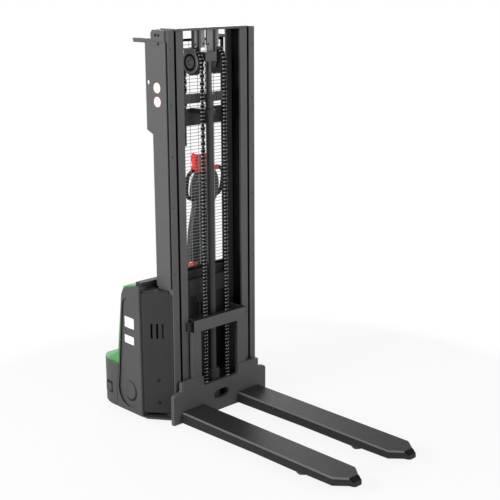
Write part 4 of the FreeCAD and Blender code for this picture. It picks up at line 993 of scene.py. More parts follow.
@dataclass
class GuardBrackets:
    """Brackets at the mast top: a drilled block with two screws, and a catch in two steps beside it."""

    holes_x: tuple[float, ...] = (-0.384, -0.362)
    hole_z: float = 2.032
    hole: float = 8.0 * MM
    catch: tuple[Box, ...] = (
        ((-0.562, 0.286, 1.993), (-0.470, 0.304, 2.001)), ((-0.428, 0.299, 1.984), (-0.368, 0.310, 2.001)))

    def build(self) -> None:
        """Refine both brackets, drill them and put screws in."""
        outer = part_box("guard_bracket_left")[1].y
        piece = refined("guard_bracket_left", "guard_bracket_left_shown", 1.2 * MM)
        drills = [bar("drill", (x, outer - 9.0 * MM, self.hole_z), (x, outer + MM, self.hole_z), self.hole)
                  for x in self.holes_x]
        carve(piece, *drills)
        dress(smooth(piece), MAST_PAINT)
        screws = [button_screw((x, outer - 8.5 * MM, self.hole_z), Vector((0, 1, 0)), 4.8 * MM) for x in self.holes_x]
        piece = join("guard_bracket_left_shown", [piece] + screws)
        settle_pair(piece, MAST_PAINT, Body.CHASSIS, "guard_bracket_left")
        parts = [soften(block("part", low, high), 1.0 * MM) for low, high in self.catch]
        settle_pair(join("bracket_catch_left", parts), MAST_PAINT, Body.CHASSIS)


@dataclass
class MastHead:
    """Head of the inner mast: hanging plates, crosshead, chain wheels with ring plates and hubs."""

    ring: float = 57.0 * MM
    ring_inner: float = 45.0 * MM
    hub: float = 22.0 * MM
    pin: float = 11.0 * MM
    wheel_y: Spot = (0.062, 0.092)
    straps: tuple[Outline, ...] = (
        ((-0.079, 1.950), (-0.010, 1.966), (-0.010, 2.050), (-0.079, 2.050)),
        ((0.005, 1.915), (0.060, 1.915), (0.060, 1.960), (0.085, 1.968), (0.085, 2.050), (0.005, 2.050)))
    strap_x: Spot = (-0.3605, -0.3545)
    strap_holes: Outline = (
        (-0.073, 1.979), (-0.021, 1.979), (-0.061, 1.962), (0.013, 1.976), (0.056, 1.976))

    def build(self) -> None:
        """Refine the head's nodes, and add the wheels' inner forms and the bolts."""
        for node, width in (("head_beam", 2.0 * MM), ("rod_crosshead", 1.6 * MM)):
            settle(refined(node, node + "_shown", width), MAST_PAINT, Body.INNER_MAST, node)
        low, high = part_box("chain_wheels")
        x, z = (low.x + high.x) / 2.0, (low.z + high.z) / 2.0
        radius = (high.x - low.x) / 2.0
        parts = []
        for side in (-1.0, 1.0):
            inner, outer = side * self.wheel_y[0], side * self.wheel_y[1]
            width = abs(outer - inner)
            floor = radius - 5.0 * MM
            profile = [(0.0, 0.0), (radius - 1.0 * MM, 0.0), (radius, 0.8 * MM), (radius - 0.6 * MM, 2.4 * MM),
                       (floor, 3.2 * MM), (floor, width - 3.2 * MM), (radius - 0.6 * MM, width - 2.4 * MM),
                       (radius, width - 0.8 * MM), (radius - 1.0 * MM, width), (0.0, width)]
            sheave = turned("wheel", (x, inner, z), (0, side, 0), profile, 64)
            parts.append(dress(smooth(sheave, 30.0), IRON))
            parts += self._hub(x, z, outer, side)
        wheels = join("chain_wheels_shown", parts)
        settle(wheels, IRON, Body.INNER_MAST, "chain_wheels")
        # Painted light: the straps take the lighter grey
        for i, outline in enumerate(self.straps):
            strap = plate(f"hanger_strap_{i}", Plane.FRONT, outline, *self.strap_x)
            settle(soften(strap, 1.0 * MM), RING_LIT_PAINT, Body.INNER_MAST)
        screws = [button_screw((self.strap_x[1], y, height), Vector((1, 0, 0)), 5.0 * MM)
                  for y, height in self.strap_holes]
        settle(join("strap_screws", screws), SCREW_STEEL, Body.INNER_MAST)

    def _hub(self, x: float, z: float, outer: float, side: float) -> list[Piece]:
        """Model the ring plate, the hub cup and its lock screws outside one wheel."""
        reach = self.ring - 3.0 * MM
        pear = plate("pear", Plane.SIDE, [
            (x + self.ring * math.cos(math.radians(a)), z + self.ring * math.sin(math.radians(a)))
            for a in range(140, 401, 13)] + [(x + reach * 0.62, z + 1.28 * reach), (x - reach, z + 1.28 * reach)],
            outer, outer + side * 4.0 * MM)
        rim = turned("rim", (x, outer, z), (0, side, 0), [
            (self.ring_inner, 0.0), (self.ring, 0.0), (self.ring, 7.0 * MM), (self.ring - 1.5 * MM, 8.0 * MM),
            (self.ring_inner + 1.5 * MM, 8.0 * MM), (self.ring_inner, 6.5 * MM)], 48)
        cup = turned("cup", (x, outer, z), (0, side, 0), [
            (0.0, 3.0 * MM), (self.hub + 9.0 * MM, 3.0 * MM), (self.hub + 8.0 * MM, 6.0 * MM),
            (self.hub, 6.5 * MM), (self.hub, 9.5 * MM), (self.hub - 1.5 * MM, 11.0 * MM),
            (self.pin + 4.0 * MM, 11.0 * MM), (self.pin + 3.0 * MM, 6.0 * MM), (self.pin, 6.0 * MM),
            (self.pin, 9.0 * MM), (self.pin - 2.0 * MM, 11.0 * MM), (0.0, 11.0 * MM)], 40)
        shade = turned("shade", (x, outer, z), (0, side, 0), [
            (self.hub + 8.0 * MM, 3.0 * MM), (self.ring_inner + MM, 3.0 * MM), (self.ring_inner + MM, 4.6 * MM),
            (self.hub + 8.0 * MM, 4.6 * MM)], 48)
        # Painted light: ring plate, rim and cup take the lighter grey; painted shade: the near-black ring between cup
        # and rim
        parts = [dress(soften(pear, 1.0 * MM), RING_LIT_PAINT), dress(smooth(rim, 30.0), RING_LIT_PAINT),
                 dress(smooth(cup, 30.0), RING_LIT_PAINT), dress(smooth(shade, 30.0), SHADE_BLACK)]
        for k in range(3):
            turn = math.radians(90.0 + 120.0 * k)
            spot = (x + (self.hub + 4.5 * MM) * math.cos(turn), outer + side * 5.6 * MM,
                    z + (self.hub + 4.5 * MM) * math.sin(turn))
            parts.append(sunk_screw(spot, Vector((0, side, 0)), 2.4 * MM))
        return parts


def button_screw(place: Sequence[float], out: Vector, radius: float) -> Piece:
    """Model a button-head screw with a hexagon socket.

    Args:
        place: The middle of its seat.
        out: The way that its head looks.
        radius: The head's radius.

    Returns:
        The screw, in its finish.
    """
    height = radius * 0.62
    head = turned("screw", place, out, [
        (0.0, -0.3 * radius), (radius, -0.3 * radius), (radius, 0.12 * radius), (radius * 0.9, height * 0.66),
        (radius * 0.62, height), (radius * 0.5, height), (radius * 0.42, height * 0.2), (0.0, height * 0.2)], 18)
    return dress(smooth(head, 30.0), SCREW_STEEL)


def sunk_screw(place: Sequence[float], out: Vector, radius: float) -> Piece:
    """Model a set screw that is nearly flush, with its socket.

    Args:
        place: The middle of its seat.
        out: The way that it looks.
        radius: Its radius.

    Returns:
        The screw, in its finish.
    """
    head = turned("screw", place, out, [
        (0.0, -0.5 * radius), (radius, -0.5 * radius), (radius, 0.10 * radius), (radius * 0.85, 0.22 * radius),
        (radius * 0.55, 0.22 * radius), (radius * 0.5, -0.2 * radius), (0.0, -0.2 * radius)], 14)
    return dress(smooth(head, 30.0), SCREW_STEEL)


@dataclass
class Forks:
    """Fork channels: chamfered long edges with a painted highlight, a pointed nose with a scoop behind its lip
    painted as shade, and a heel weld.
    """

    wall: float = 8.0 * MM
    top: float = 6.0 * MM
    chamfer: float = 7.0 * MM
    heel_depth: float = 60.0 * MM
    tip_depth: float = 41.0 * MM
    nose: float = 94.0 * MM
    nose_sides: Outline = ((0.034, 0.034), (0.013, 0.029), (0.003, 0.019))
    scoop_shade_x: Spot = (0.0345, 0.012)
    scoop: Outline = (
        (-0.034, 0.003), (-0.034, 0.0), (-0.018, -0.016), (-0.010, -0.018), (-0.004, -0.016), (0.004, -0.016),
        (0.004, 0.003))

    def build(self) -> None:
        """Model one fork and its mirror image."""
        low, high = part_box("fork_left")
        middle = (low.y + high.y) / 2.0
        half = (high.y - low.y) / 2.0
        tip, top = high.x, high.z
        sides = [(low.x, half), (tip - self.nose, half)] + [(tip - back, side) for back, side in self.nose_sides]
        piece = plate("fork_left_shown", Plane.PLAN, [(x, middle - y) for x, y in sides] + [
            (x, middle + y) for x, y in reversed(sides)], low.z, top)
        under = plate("under", Plane.SIDE, [
            (low.x - 0.01, low.z - 0.01), (tip + 0.01, low.z - 0.01), (tip + 0.01, top - self.tip_depth + 0.004),
            (tip - self.nose, top - self.tip_depth), (low.x - 0.01, top - self.heel_depth - 0.0002)],
            middle - half - 0.01, middle + half + 0.01)
        carve(piece, under)
        bevel_edges(piece, self.chamfer, 1, lambda a, b: min(a.z, b.z) > top - 1e-5 and max(a.x, b.x) < tip - 0.01
                    and min(abs(a.y - middle), abs(b.y - middle)) > 0.02)
        room = block("room", (low.x - 0.01, middle - half + self.wall, low.z - 0.01),
                     (tip - self.nose - 0.010, middle + half - self.wall, top - self.top))
        scoop = plate("scoop", Plane.SIDE, [(tip + x, top + z) for x, z in self.scoop], middle - 0.05, middle + 0.05)
        carve(piece, room, scoop)
        soften(piece, 1.5 * MM, 2, 20.0)
        dress(piece, FORK_PAINT)
        # Painted shade: upward faces in the scoop take the near-black
        accent(piece, FORK_SCOOP_SHADE, lambda at, out: tip - self.scoop_shade_x[0] < at.x < tip - self.scoop_shade_x[1]
               and out.z > 0.3)
        # Painted highlight: the top chamfers take the light grey
        accent(piece, FORK_EDGE_HIGHLIGHT, lambda at, out: at.x < tip - 0.05 and at.z > top - 0.010 and 0.3 < out.z < 0.93
               and abs(out.y) > 0.3)
        bead = weld((low.x + 4.0 * MM, low.y + 6.0 * MM, top - 0.5 * MM),
                    (low.x + 4.0 * MM, high.y - 6.0 * MM, top - 0.5 * MM), 3.2 * MM)
        piece = join("fork_left_shown", [piece, dress(bead, FORK_PAINT)])
        settle_pair(piece, FORK_PAINT, Body.CARRIAGE, "fork_left")


def weld(start: Sequence[float], end: Sequence[float], radius: float) -> Piece:
    """Lay a rippled weld bead between two points.

    Args:
        start: Where the bead starts.
        end: Where it ends.
        radius: The bead's radius.

    Returns:
        The bead, with no finish yet.
    """
    first, last = Vector(start), Vector(end)
    run = last - first
    ripples = max(3, int(run.length / (radius * 0.9)))
    profile: list[Spot] = [(0.0, 0.0)]
    for k in range(ripples + 1):
        height = run.length * k / ripples
        profile += [(radius, height), (radius * 0.86, height + run.length / ripples * 0.5)]
    profile.append((0.0, profile[-1][1]))
    return smooth(turned("bead", first, run, profile, 10), 60.0)


@dataclass
class Carriage:
    """Fork carriage: notched plate, uprights welded to it, and an open angle as crossbar with painted shade in its
    ends, and stops.
    """

    front: float = -0.270
    plate_t: float = 24.0 * MM
    outline: Outline = (
        (0.118, 0.192), (0.124, 0.198), (0.124, 0.240), (0.129, 0.246), (0.276, 0.246), (0.279, 0.243),
        (0.279, 0.203), (0.284, 0.196), (0.312, 0.192), (0.328, 0.187), (0.337, 0.176), (0.337, 0.022),
        (0.2715, 0.022), (0.2715, 0.079), (0.1335, 0.079), (0.1335, 0.022))
    slot: Place = (0.053, 0.025, 0.115)
    lug: tuple[float, float, float, float, float] = (0.063, 0.091, 0.145, 0.190, -0.310)
    uprights: tuple[float, float, float, float] = (0.131, 0.194, -0.301, -0.280)
    crossbar: tuple[float, float, float, float] = (0.1885, 0.500, 0.565, -0.3035)
    crossbar_t: float = 7.0 * MM
    end_shade: float = 20.0 * MM
    stop: Box = ((-0.3025, 0.186, 0.508), (-0.290, 0.212, 0.556))

    def build(self) -> None:
        """Model the carriage's plates and weld them together."""
        self._plate()
        half, low, high, rear = self.crossbar
        angle = block("carriage_crossbar_shown", (rear, -half, low), (self.front, half, high))
        room = block("room", (rear - 0.01, -half - 0.01, low - 0.01),
                     (self.front - self.crossbar_t, half + 0.01, high - self.crossbar_t))
        dress(soften(carve(angle, room), 1.2 * MM, 3), CARRIAGE_PAINT)
        # Painted shade: the angle's end faces take the near-black
        accent(angle, SHADE_BLACK, lambda at, out: abs(out.y) > 0.9 and abs(at.y) > half - MM)
        accent(angle, FORK_PAINT, lambda at, out: out.z > 0.9 and at.z > high - MM)
        # Painted shade: a near-black block fills each open end of the angle
        end_shade = block("end_shade", (rear + MM, half - self.end_shade, low + MM),
                     (self.front - self.crossbar_t + MM, half - MM, high - self.crossbar_t + MM))
        parts = [angle, dress(end_shade, SHADE_BLACK), twin(end_shade, "plug_right")]
        stop = dress(soften(block("stop", *self.stop), 0.8 * MM), PANEL_PAINT)
        parts += [stop, twin(stop, "stop_right")]
        settle(join("carriage_crossbar_shown", parts), CARRIAGE_PAINT, Body.CARRIAGE, "carriage_crossbar")
        inner, outer, back, face = self.uprights
        foot = self.outline[4][1] - 0.010
        upright = block("carriage_upright_left_shown", (back, inner, foot), (face, outer, low + 0.004))
        soften(upright, 1.2 * MM, 3)
        bead = weld((face + 0.001, inner + 0.004, foot + 0.010),
                    (face + 0.001, outer - 0.004, foot + 0.010), 3.0 * MM)
        upright = join("carriage_upright_left_shown", [upright, bead])
        settle_pair(upright, CARRIAGE_PAINT, Body.CARRIAGE, "carriage_upright_left")
        for node in ("carriage_cheek_left", "carriage_cheek_right"):
            settle(refined(node, node + "_shown", 1.2 * MM), CARRIAGE_PAINT, Body.CARRIAGE, node)

    def _plate(self) -> None:
        """Cut the plate with its dip, steps, slot and leg openings, and set the chain lugs on its back."""
        back = self.front - self.plate_t
        outline = list(self.outline) + [(-y, z) for y, z in reversed(self.outline)]
        piece = plate("carriage_plate_shown", Plane.FRONT, outline, back, self.front)
        reach, radius, height = self.slot
        ends = []
        for side, first in ((1.0, -90.0), (-1.0, 90.0)):
            for k in range(9):
                turn = math.radians(first + 180.0 * k / 8.0)
                ends.append((side * (reach - radius) + radius * math.cos(turn), height + radius * math.sin(turn)))
        carve(piece, plate("slot", Plane.FRONT, ends, back - 0.01, self.front + 0.01))
        soften(piece, 2.2 * MM, 3)
        inner, outer, low, high, rear = self.lug
        lug = soften(block("lug", (rear, inner, low), (back + MM, outer, high)), 1.5 * MM)
        parts = [piece, lug, twin(lug, "lug_right")]
        settle(join("carriage_plate_shown", parts), CARRIAGE_PAINT, Body.CARRIAGE, "carriage_plate")


@dataclass
class FrontWall:
    """Steel wall behind the mast, with two screws and the bar that closes the hood's front edge."""

    bar_x: Spot = (-0.503, -0.456)
    bar_z: Spot = (0.753, 0.775)
    bar_half: float = 0.384
    hole: Spot = (0.281, 0.744)

    def build(self) -> None:
        """Refine the wall and lay the bar on it."""
        wall = dress(refined("front_wall", "front_wall_shown", 1.5 * MM), PANEL_PAINT)
        top = soften(block("bar", (self.bar_x[0], -self.bar_half, self.bar_z[0]),
                           (self.bar_x[1], self.bar_half, self.bar_z[1])), 5.0 * MM, 4)
        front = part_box("front_wall")[1].x
        screws = [sunk_screw((front, side * self.hole[0], self.hole[1]), Vector((1, 0, 0)), 6.0 * MM)
                  for side in (-1.0, 1.0)]
        dress(top, PANEL_PAINT)
        # Painted shade: the bar's top faces take the near-black
        accent(top, SHADE_BLACK, lambda at, out: out.z > 0.95)
        settle(join("front_wall_shown", [wall, top] + screws), PANEL_PAINT, Body.CHASSIS, "front_wall")


@dataclass
class LowerCover:
    """Lower rear cover with a latch tab on each side, with a painted shadow behind it."""

    edge: float = 5.0 * MM
    latch: tuple[float, float, float, float] = (-0.773, -0.724, 0.107, 0.153)
    corner: Place = (-0.715, 0.235, 0.165)
    latch_shadow: float = 7.0 * MM
    inset: float = 3.0 * MM
    half: float = 0.400
    side_band: float = 20.0 * MM
    lid_z: float = 0.200
    tab_root: float = 12.0 * MM
    tab_proud: float = 9.0 * MM

    def _reach(self, x: float) -> float:
        """Give how far the cover's side is from the middle at x."""
        back = min(0.0, x - self.corner[0])
        return self.corner[1] + math.sqrt(self.corner[2] ** 2 - back ** 2)

    def _tab(self, name: str, margin: float, proud: float) -> Piece:
        """Model a tab that follows the cover's round corner, larger by a margin and standing proud."""
        rear, front, low, high = self.latch
        xs = [rear - margin + (front - rear + 1.3 * margin) * k / 5.0 for k in range(6)]
        outline = [(x, min(self.half, self._reach(x) + proud)) for x in xs]
        outline += [(x, self._reach(x) - self.tab_root) for x in reversed(xs)]
        return plate(name, Plane.PLAN, outline, low - margin, high + margin)

    def build(self) -> None:
        """Refine the cover and hang the latches."""
        cover = refined("lower_cover", "lower_cover_shown", self.edge, 4)
        for vertex in cover.data.vertices:
            if abs(vertex.co.y) > self.half - self.side_band:
                vertex.co.y -= math.copysign(self.inset, vertex.co.y)
        dress(smooth(cover, 30.0), COVER_ABS)
        accent(cover, HOOD_ABS, lambda at, out: at.z > self.lid_z and out.z > 0.75)
        settle(cover, COVER_ABS, Body.CHASSIS, "lower_cover")
        tab = dress(soften(self._tab("tab", 0.0, self.tab_proud), 1.8 * MM, 3), COVER_ABS)
        # Painted shadow: a near-black plate behind each tab, larger than it
        latch_shadow = dress(smooth(self._tab("latch_shadow", self.latch_shadow, 0.5 * MM)), RUBBER_AND_SHADE_BLACK)
        settle_pair(join("cover_latch_left", [tab, latch_shadow]), COVER_ABS, Body.CHASSIS)


@dataclass
class Tiller:
    """Tiller, drawn upright from its tilt pin: bulged arm with grooves, pear-shaped head, loops and red switches."""

    pin: Place = (-0.790, 0.250, 0.392)
    lean: float = 9.0
    arm: Outline = (
        (0.046, 0.066), (0.056, 0.120), (0.062, 0.200), (0.066, 0.338), (0.072, 0.428), (0.077, 0.516),
        (0.072, 0.600), (0.064, 0.690), (0.062, 0.712))
    arm_t: float = 44.0 * MM
    head: Outline = (
        (0.064, 0.692), (0.076, 0.712), (0.085, 0.742), (0.088, 0.776), (0.084, 0.815), (0.072, 0.850),
        (0.054, 0.878), (0.034, 0.888))
    head_t: float = 60.0 * MM
    groove: tuple[float, float, float, float] = (0.024, 0.005, 0.130, 0.660)
    loop: Outline = (
        (0.050, 0.886), (0.075, 0.888), (0.104, 0.888), (0.134, 0.872), (0.133, 0.820), (0.133, 0.765),
        (0.122, 0.735), (0.098, 0.724), (0.070, 0.720))
    loop_radius: float = 11.0 * MM
    boss: float = 22.0 * MM
    boss_half: float = 27.0 * MM
    pin_hole: float = 10.1 * MM
    cap: Outline = (
        (-0.084, 0.900), (0.006, 0.900), (0.006, 0.970), (-0.006, 0.985), (-0.092, 0.985), (-0.100, 0.975),
        (-0.098, 0.945))
    cap_x: Spot = (-0.026, 0.014)
    rocker: Box = ((-0.030, -0.092, 0.878), (0.018, 0.080, 0.910))

    def _place(self, piece: Piece) -> Piece:
        """Lean an upright piece forward about the tilt pin."""
        shift = Matrix.Translation(Vector(self.pin))
        piece.data.transform(shift @ Matrix.Rotation(math.radians(self.lean), 4, "Y") @ shift.inverted())
        return piece

    def _slab(self, name: str, half: Sequence[Spot], thick: float, round_by: float) -> Piece:
        """Model a cushioned slab from half widths and heights over the pin."""
        x, y, z = self.pin
        line = flowing(half)
        outline = [(y + a, z + b) for a, b in line] + [(y - a, z + b) for a, b in reversed(line)]
        piece = plate(name, Plane.FRONT, outline, x - thick / 2.0, x + thick / 2.0)
        bevel_edges(piece, round_by, 5, lambda a, b: abs(a.x - b.x) < 1e-6)
        return smooth(piece, 40.0)

    def build(self) -> None:
        """Model the arm, the head with its loops, and the switches."""
        x, y, z = self.pin
        arm = self._slab("tiller_arm_shown", self.arm, self.arm_t, 15.0 * MM)
        across, wide, low, high = self.groove
        face = self.arm_t / 2.0
        cutters = []
        for side in (-1.0, 1.0):
            for front in (-1.0, 1.0):
                cutters.append(block("groove", (x + front * (face - 0.003), y + side * across - wide / 2.0, z + low),
                                     (x + front * (face + 0.01), y + side * across + wide / 2.0, z + high)))
        smooth(carve(arm, *cutters), 40.0)
        boss = turned("boss", (x, y - self.boss_half, z), (0, 1, 0), [
            (self.pin_hole, 0.0), (self.boss, 0.0), (self.boss, 2.0 * self.boss_half),
            (self.pin_hole, 2.0 * self.boss_half)])
        neck = soften(block("neck", (x - 0.020, y - self.boss_half, z + 0.014),
                            (x + 0.020, y + self.boss_half, z + 0.082)), 3.0 * MM)
        arm = join("tiller_arm_shown", [arm, smooth(boss), neck])
        settle(self._place(arm), TILLER_ABS, Body.TILLER, "tiller_arm")
        head = self._slab("tiller_head_shown", self.head, self.head_t, 18.0 * MM)
        settle(self._place(head), TILLER_ABS, Body.TILLER, "tiller_head")
        loops = [tube("loop", [(x, y + side * a, z + b) for a, b in self.loop], self.loop_radius)
                 for side in (-1.0, 1.0)]
        settle(self._place(join("tiller_handles_shown", loops)), RUBBER_AND_SHADE_BLACK, Body.TILLER, "tiller_handles")
        self._switches()

    def _switches(self) -> None:
        """Model the belly switch and the rocker under it."""
        x, y, z = self.pin
        cap = soften(plate("cap", Plane.FRONT, [(y + a, z + b) for a, b in self.cap],
                           x + self.cap_x[0], x + self.cap_x[1]), 7.0 * MM, 4)
        low, high = ([a + b for a, b in zip(self.pin, corner)] for corner in self.rocker)
        rocker = soften(block("rocker", low, high), 7.0 * MM, 4)
        settle(self._place(join("belly_switch_shown", [cap, rocker])), RED_ABS, Body.TILLER, "belly_switch")


def wheel(
    name: str, centre: Sequence[float], width: float, radius: float, bore: float, tread: float, finish: Finish
) -> Piece:
    """Turn a wheel about a cross axis: a cast tread with round shoulders on an iron hub.

    Args:
        name: The wheel's name.
        centre: Its middle.
        width: Its width.
        radius: Its outer radius.
        bore: Radius of its bore.
        tread: Thickness of the tread.
        finish: The tread's finish.

    Returns:
        The wheel.
    """
    x, y, z = centre
    shoulder = min(6.0 * MM, tread * 0.6)
    rim = radius - tread
    arc = [(radius - shoulder * (1.0 - math.sin(math.radians(a))), shoulder * (1.0 - math.cos(math.radians(a))))
           for a in (0.0, 30.0, 60.0, 90.0)]
    profile = [(rim, 0.0)] + arc + [(r, width - h) for r, h in reversed(arc)] + [(rim, width)]
    tyre = turned("tyre", (x, y - width / 2.0, z), (0, 1, 0), profile, 56)
    deep = min(10.0 * MM, width * 0.2)
    side = [(bore, 2.0 * MM), (bore + 0.16 * (rim - bore) + 3.0 * MM, 2.0 * MM),
            (bore + 0.3 * (rim - bore) + 3.0 * MM, deep), (rim - 6.0 * MM, deep),
            (rim - 3.0 * MM, 1.5 * MM), (rim + 0.5 * MM, 1.5 * MM)]
    hub = turned("hub", (x, y - width / 2.0, z), (0, 1, 0),
                 side + [(r, width - h) for r, h in reversed(side)], 56)
    return join(name, [dress(smooth(tyre), finish), dress(smooth(hub), IRON)])


@dataclass
class Running:
    """Everything that rolls: drive wheel, caster wheel and load rollers, with the gear case's bolts."""

    bolts: int = 6
    bolt_circle: float = 44.0 * MM
    case_face: Place = (-0.755, 0.180, 0.105)
    wheels: tuple[tuple[Body, float, float, Finish], ...] = (
        (Body.DRIVE_WHEEL, 15.1 * MM, 18.0 * MM, TREAD), (Body.CASTER_WHEEL, 7.1 * MM, 12.0 * MM, TREAD),
        (Body.ROLLER_LEFT, 10.1 * MM, 9.0 * MM, ROLLER), (Body.ROLLER_RIGHT, 10.1 * MM, 9.0 * MM, ROLLER))

    def _wheel(self, node: str, bore: float, tread: float, finish: Finish, body: Body) -> None:
        """Put a turned wheel in the place of a node."""
        low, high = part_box(node)
        middle = (low + high) / 2.0
        made = wheel(node + "_shown", middle, high.y - low.y, (high.z - low.z) / 2.0, bore, tread, finish)
        settle(made, finish, body, node)

    def build(self) -> None:
        """Turn the wheels and bolt the gear case's cover on."""
        for body, bore, tread, finish in self.wheels:
            self._wheel(body.value, bore, tread, finish, body)
        x, y, z = self.case_face
        screws = []
        for k in range(self.bolts):
            turn = 2.0 * math.pi * k / self.bolts
            place = (x + self.bolt_circle * math.cos(turn), y, z + self.bolt_circle * math.sin(turn))
            screws.append(button_screw(place, Vector((0, -1, 0)), 5.0 * MM))
        settle(join("gear_case_bolts", screws), SCREW_STEEL, Body.DRIVE_UNIT)


@dataclass
class LiftCylinder:
    """Lift cylinder: a foot, a plain tube, a gland nut with grooves, and the ground rod."""

    foot: float = 36.0 * MM
    foot_top: float = 0.246
    tube: float = 20.0 * MM
    gland: float = 23.0 * MM
    gland_z: Spot = (1.698, 1.730)
    rod: float = 14.0 * MM

    def build(self) -> None:
        """Turn the barrel and the rod."""
        low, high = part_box("lift_barrel")
        x, y = (low.x + high.x) / 2.0, (low.y + high.y) / 2.0
        start, end = self.gland_z
        profile = [
            (0.0, low.z), (self.foot, low.z), (self.foot, self.foot_top - 5.0 * MM),
            (self.foot - 4.0 * MM, self.foot_top), (self.tube + 3.0 * MM, self.foot_top),
            (self.tube, self.foot_top + 3.0 * MM), (self.tube, start - 1.0 * MM), (self.gland - 1.0 * MM, start),
            (self.gland, start + 1.5 * MM), (self.gland, start + 9.0 * MM),
            (self.gland - 1.5 * MM, start + 10.0 * MM), (self.gland - 1.5 * MM, start + 12.0 * MM),
            (self.gland, start + 13.0 * MM), (self.gland, end - 2.0 * MM), (self.gland - 2.0 * MM, end), (0.0, end)]
        barrel = turned("lift_barrel_shown", (x, y, 0.0), (0, 0, 1), profile, 40)
        settle(smooth(barrel, 30.0), BARREL_PAINT, Body.CHASSIS, "lift_barrel")
        low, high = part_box("lift_rod")
        rod = turned("lift_rod_shown", (x, y, 0.0), (0, 0, 1), [
            (0.0, low.z), (self.rod, low.z), (self.rod, high.z), (0.0, high.z)], 40)
        settle(smooth(rod, 30.0), CHROME, Body.INNER_MAST, "lift_rod")


@dataclass
class InnerMast:
    """Moving rails, their ties and the pads that are bolted to the upper tie."""

    pads: Outline = ((-0.051, 0.010), (0.119, 0.170))
    pad_t: float = 4.0 * MM
    outside: float = 0.200

    def build(self) -> None:
        """Refine the rails and the ties, and put the pads on."""
        for node, width in (("inner_rail_left", 3.0 * MM), ("inner_rail_right", 3.0 * MM),
                            ("inner_tie_low", 1.2 * MM), ("inner_tie_top", 1.2 * MM)):
            piece = dress(refined(node, node + "_shown", width, 3), MAST_PAINT)
            if "rail" in node:
                # Painted shade: the rails' side faces beyond outside take the near-black
                accent(piece, SHADE_BLACK, lambda at, out: abs(at.y) > self.outside and abs(out.y) > 0.7)
            settle(piece, MAST_PAINT, Body.INNER_MAST, node)
        low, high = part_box("inner_tie_top")
        pads = [soften(block("pad", (high.x - MM, left, low.z + 2.0 * MM),
                             (high.x + self.pad_t, right, high.z - 2.0 * MM)), 1.0 * MM)
                for left, right in self.pads]
        settle(join("inner_tie_pads", pads), MAST_PAINT, Body.INNER_MAST)


@dataclass
class Hood:
    """Moulded hood, with its shoulder pressed down to the covers' edge."""

    shoulder: float = 0.700
    press: float = 9.0 * MM

    def build(self) -> None:
        """Refine the hood and press its top down."""
        piece = refined("centre_hood", "centre_hood_shown", 5.0 * MM, 4)
        for vertex in piece.data.vertices:
            if vertex.co.z > self.shoulder:
                vertex.co.z -= self.press
        settle(piece, HOOD_ABS, Body.CHASSIS, "centre_hood")


@dataclass
class StopButton:
    """Mushroom stop button on a black collar, both as shares of the CAD node's radius and height."""

    collar: Outline = ((0.0, 0.0), (0.86, 0.0), (0.86, 0.16), (0.74, 0.22), (0.0, 0.22))
    cap: Outline = (
        (0.0, 0.12), (0.90, 0.12), (0.94, 0.30), (0.97, 0.52), (1.0, 0.60), (1.0, 0.78), (0.9, 0.90),
        (0.55, 0.97), (0.0, 0.97))

    def build(self) -> None:
        """Turn the cap and the collar."""
        low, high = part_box("stop_button")
        x, y = (low.x + high.x) / 2.0, (low.y + high.y) / 2.0
        radius = (high.x - low.x) / 2.0
        height = high.z - low.z
        collar = turned("collar", (x, y, low.z - 2.0 * MM), (0, 0, 1),
                        [(radius * a, height * b) for a, b in self.collar], 32)
        cap = turned("cap", (x, y, low.z), (0, 0, 1), [(radius * a, height * b) for a, b in self.cap], 40)
        dress(smooth(collar), RUBBER_AND_SHADE_BLACK)
        dress(smooth(cap, 50.0), RED_ABS)
        settle(join("stop_button_shown", [cap, collar]), RED_ABS, Body.CHASSIS, "stop_button")


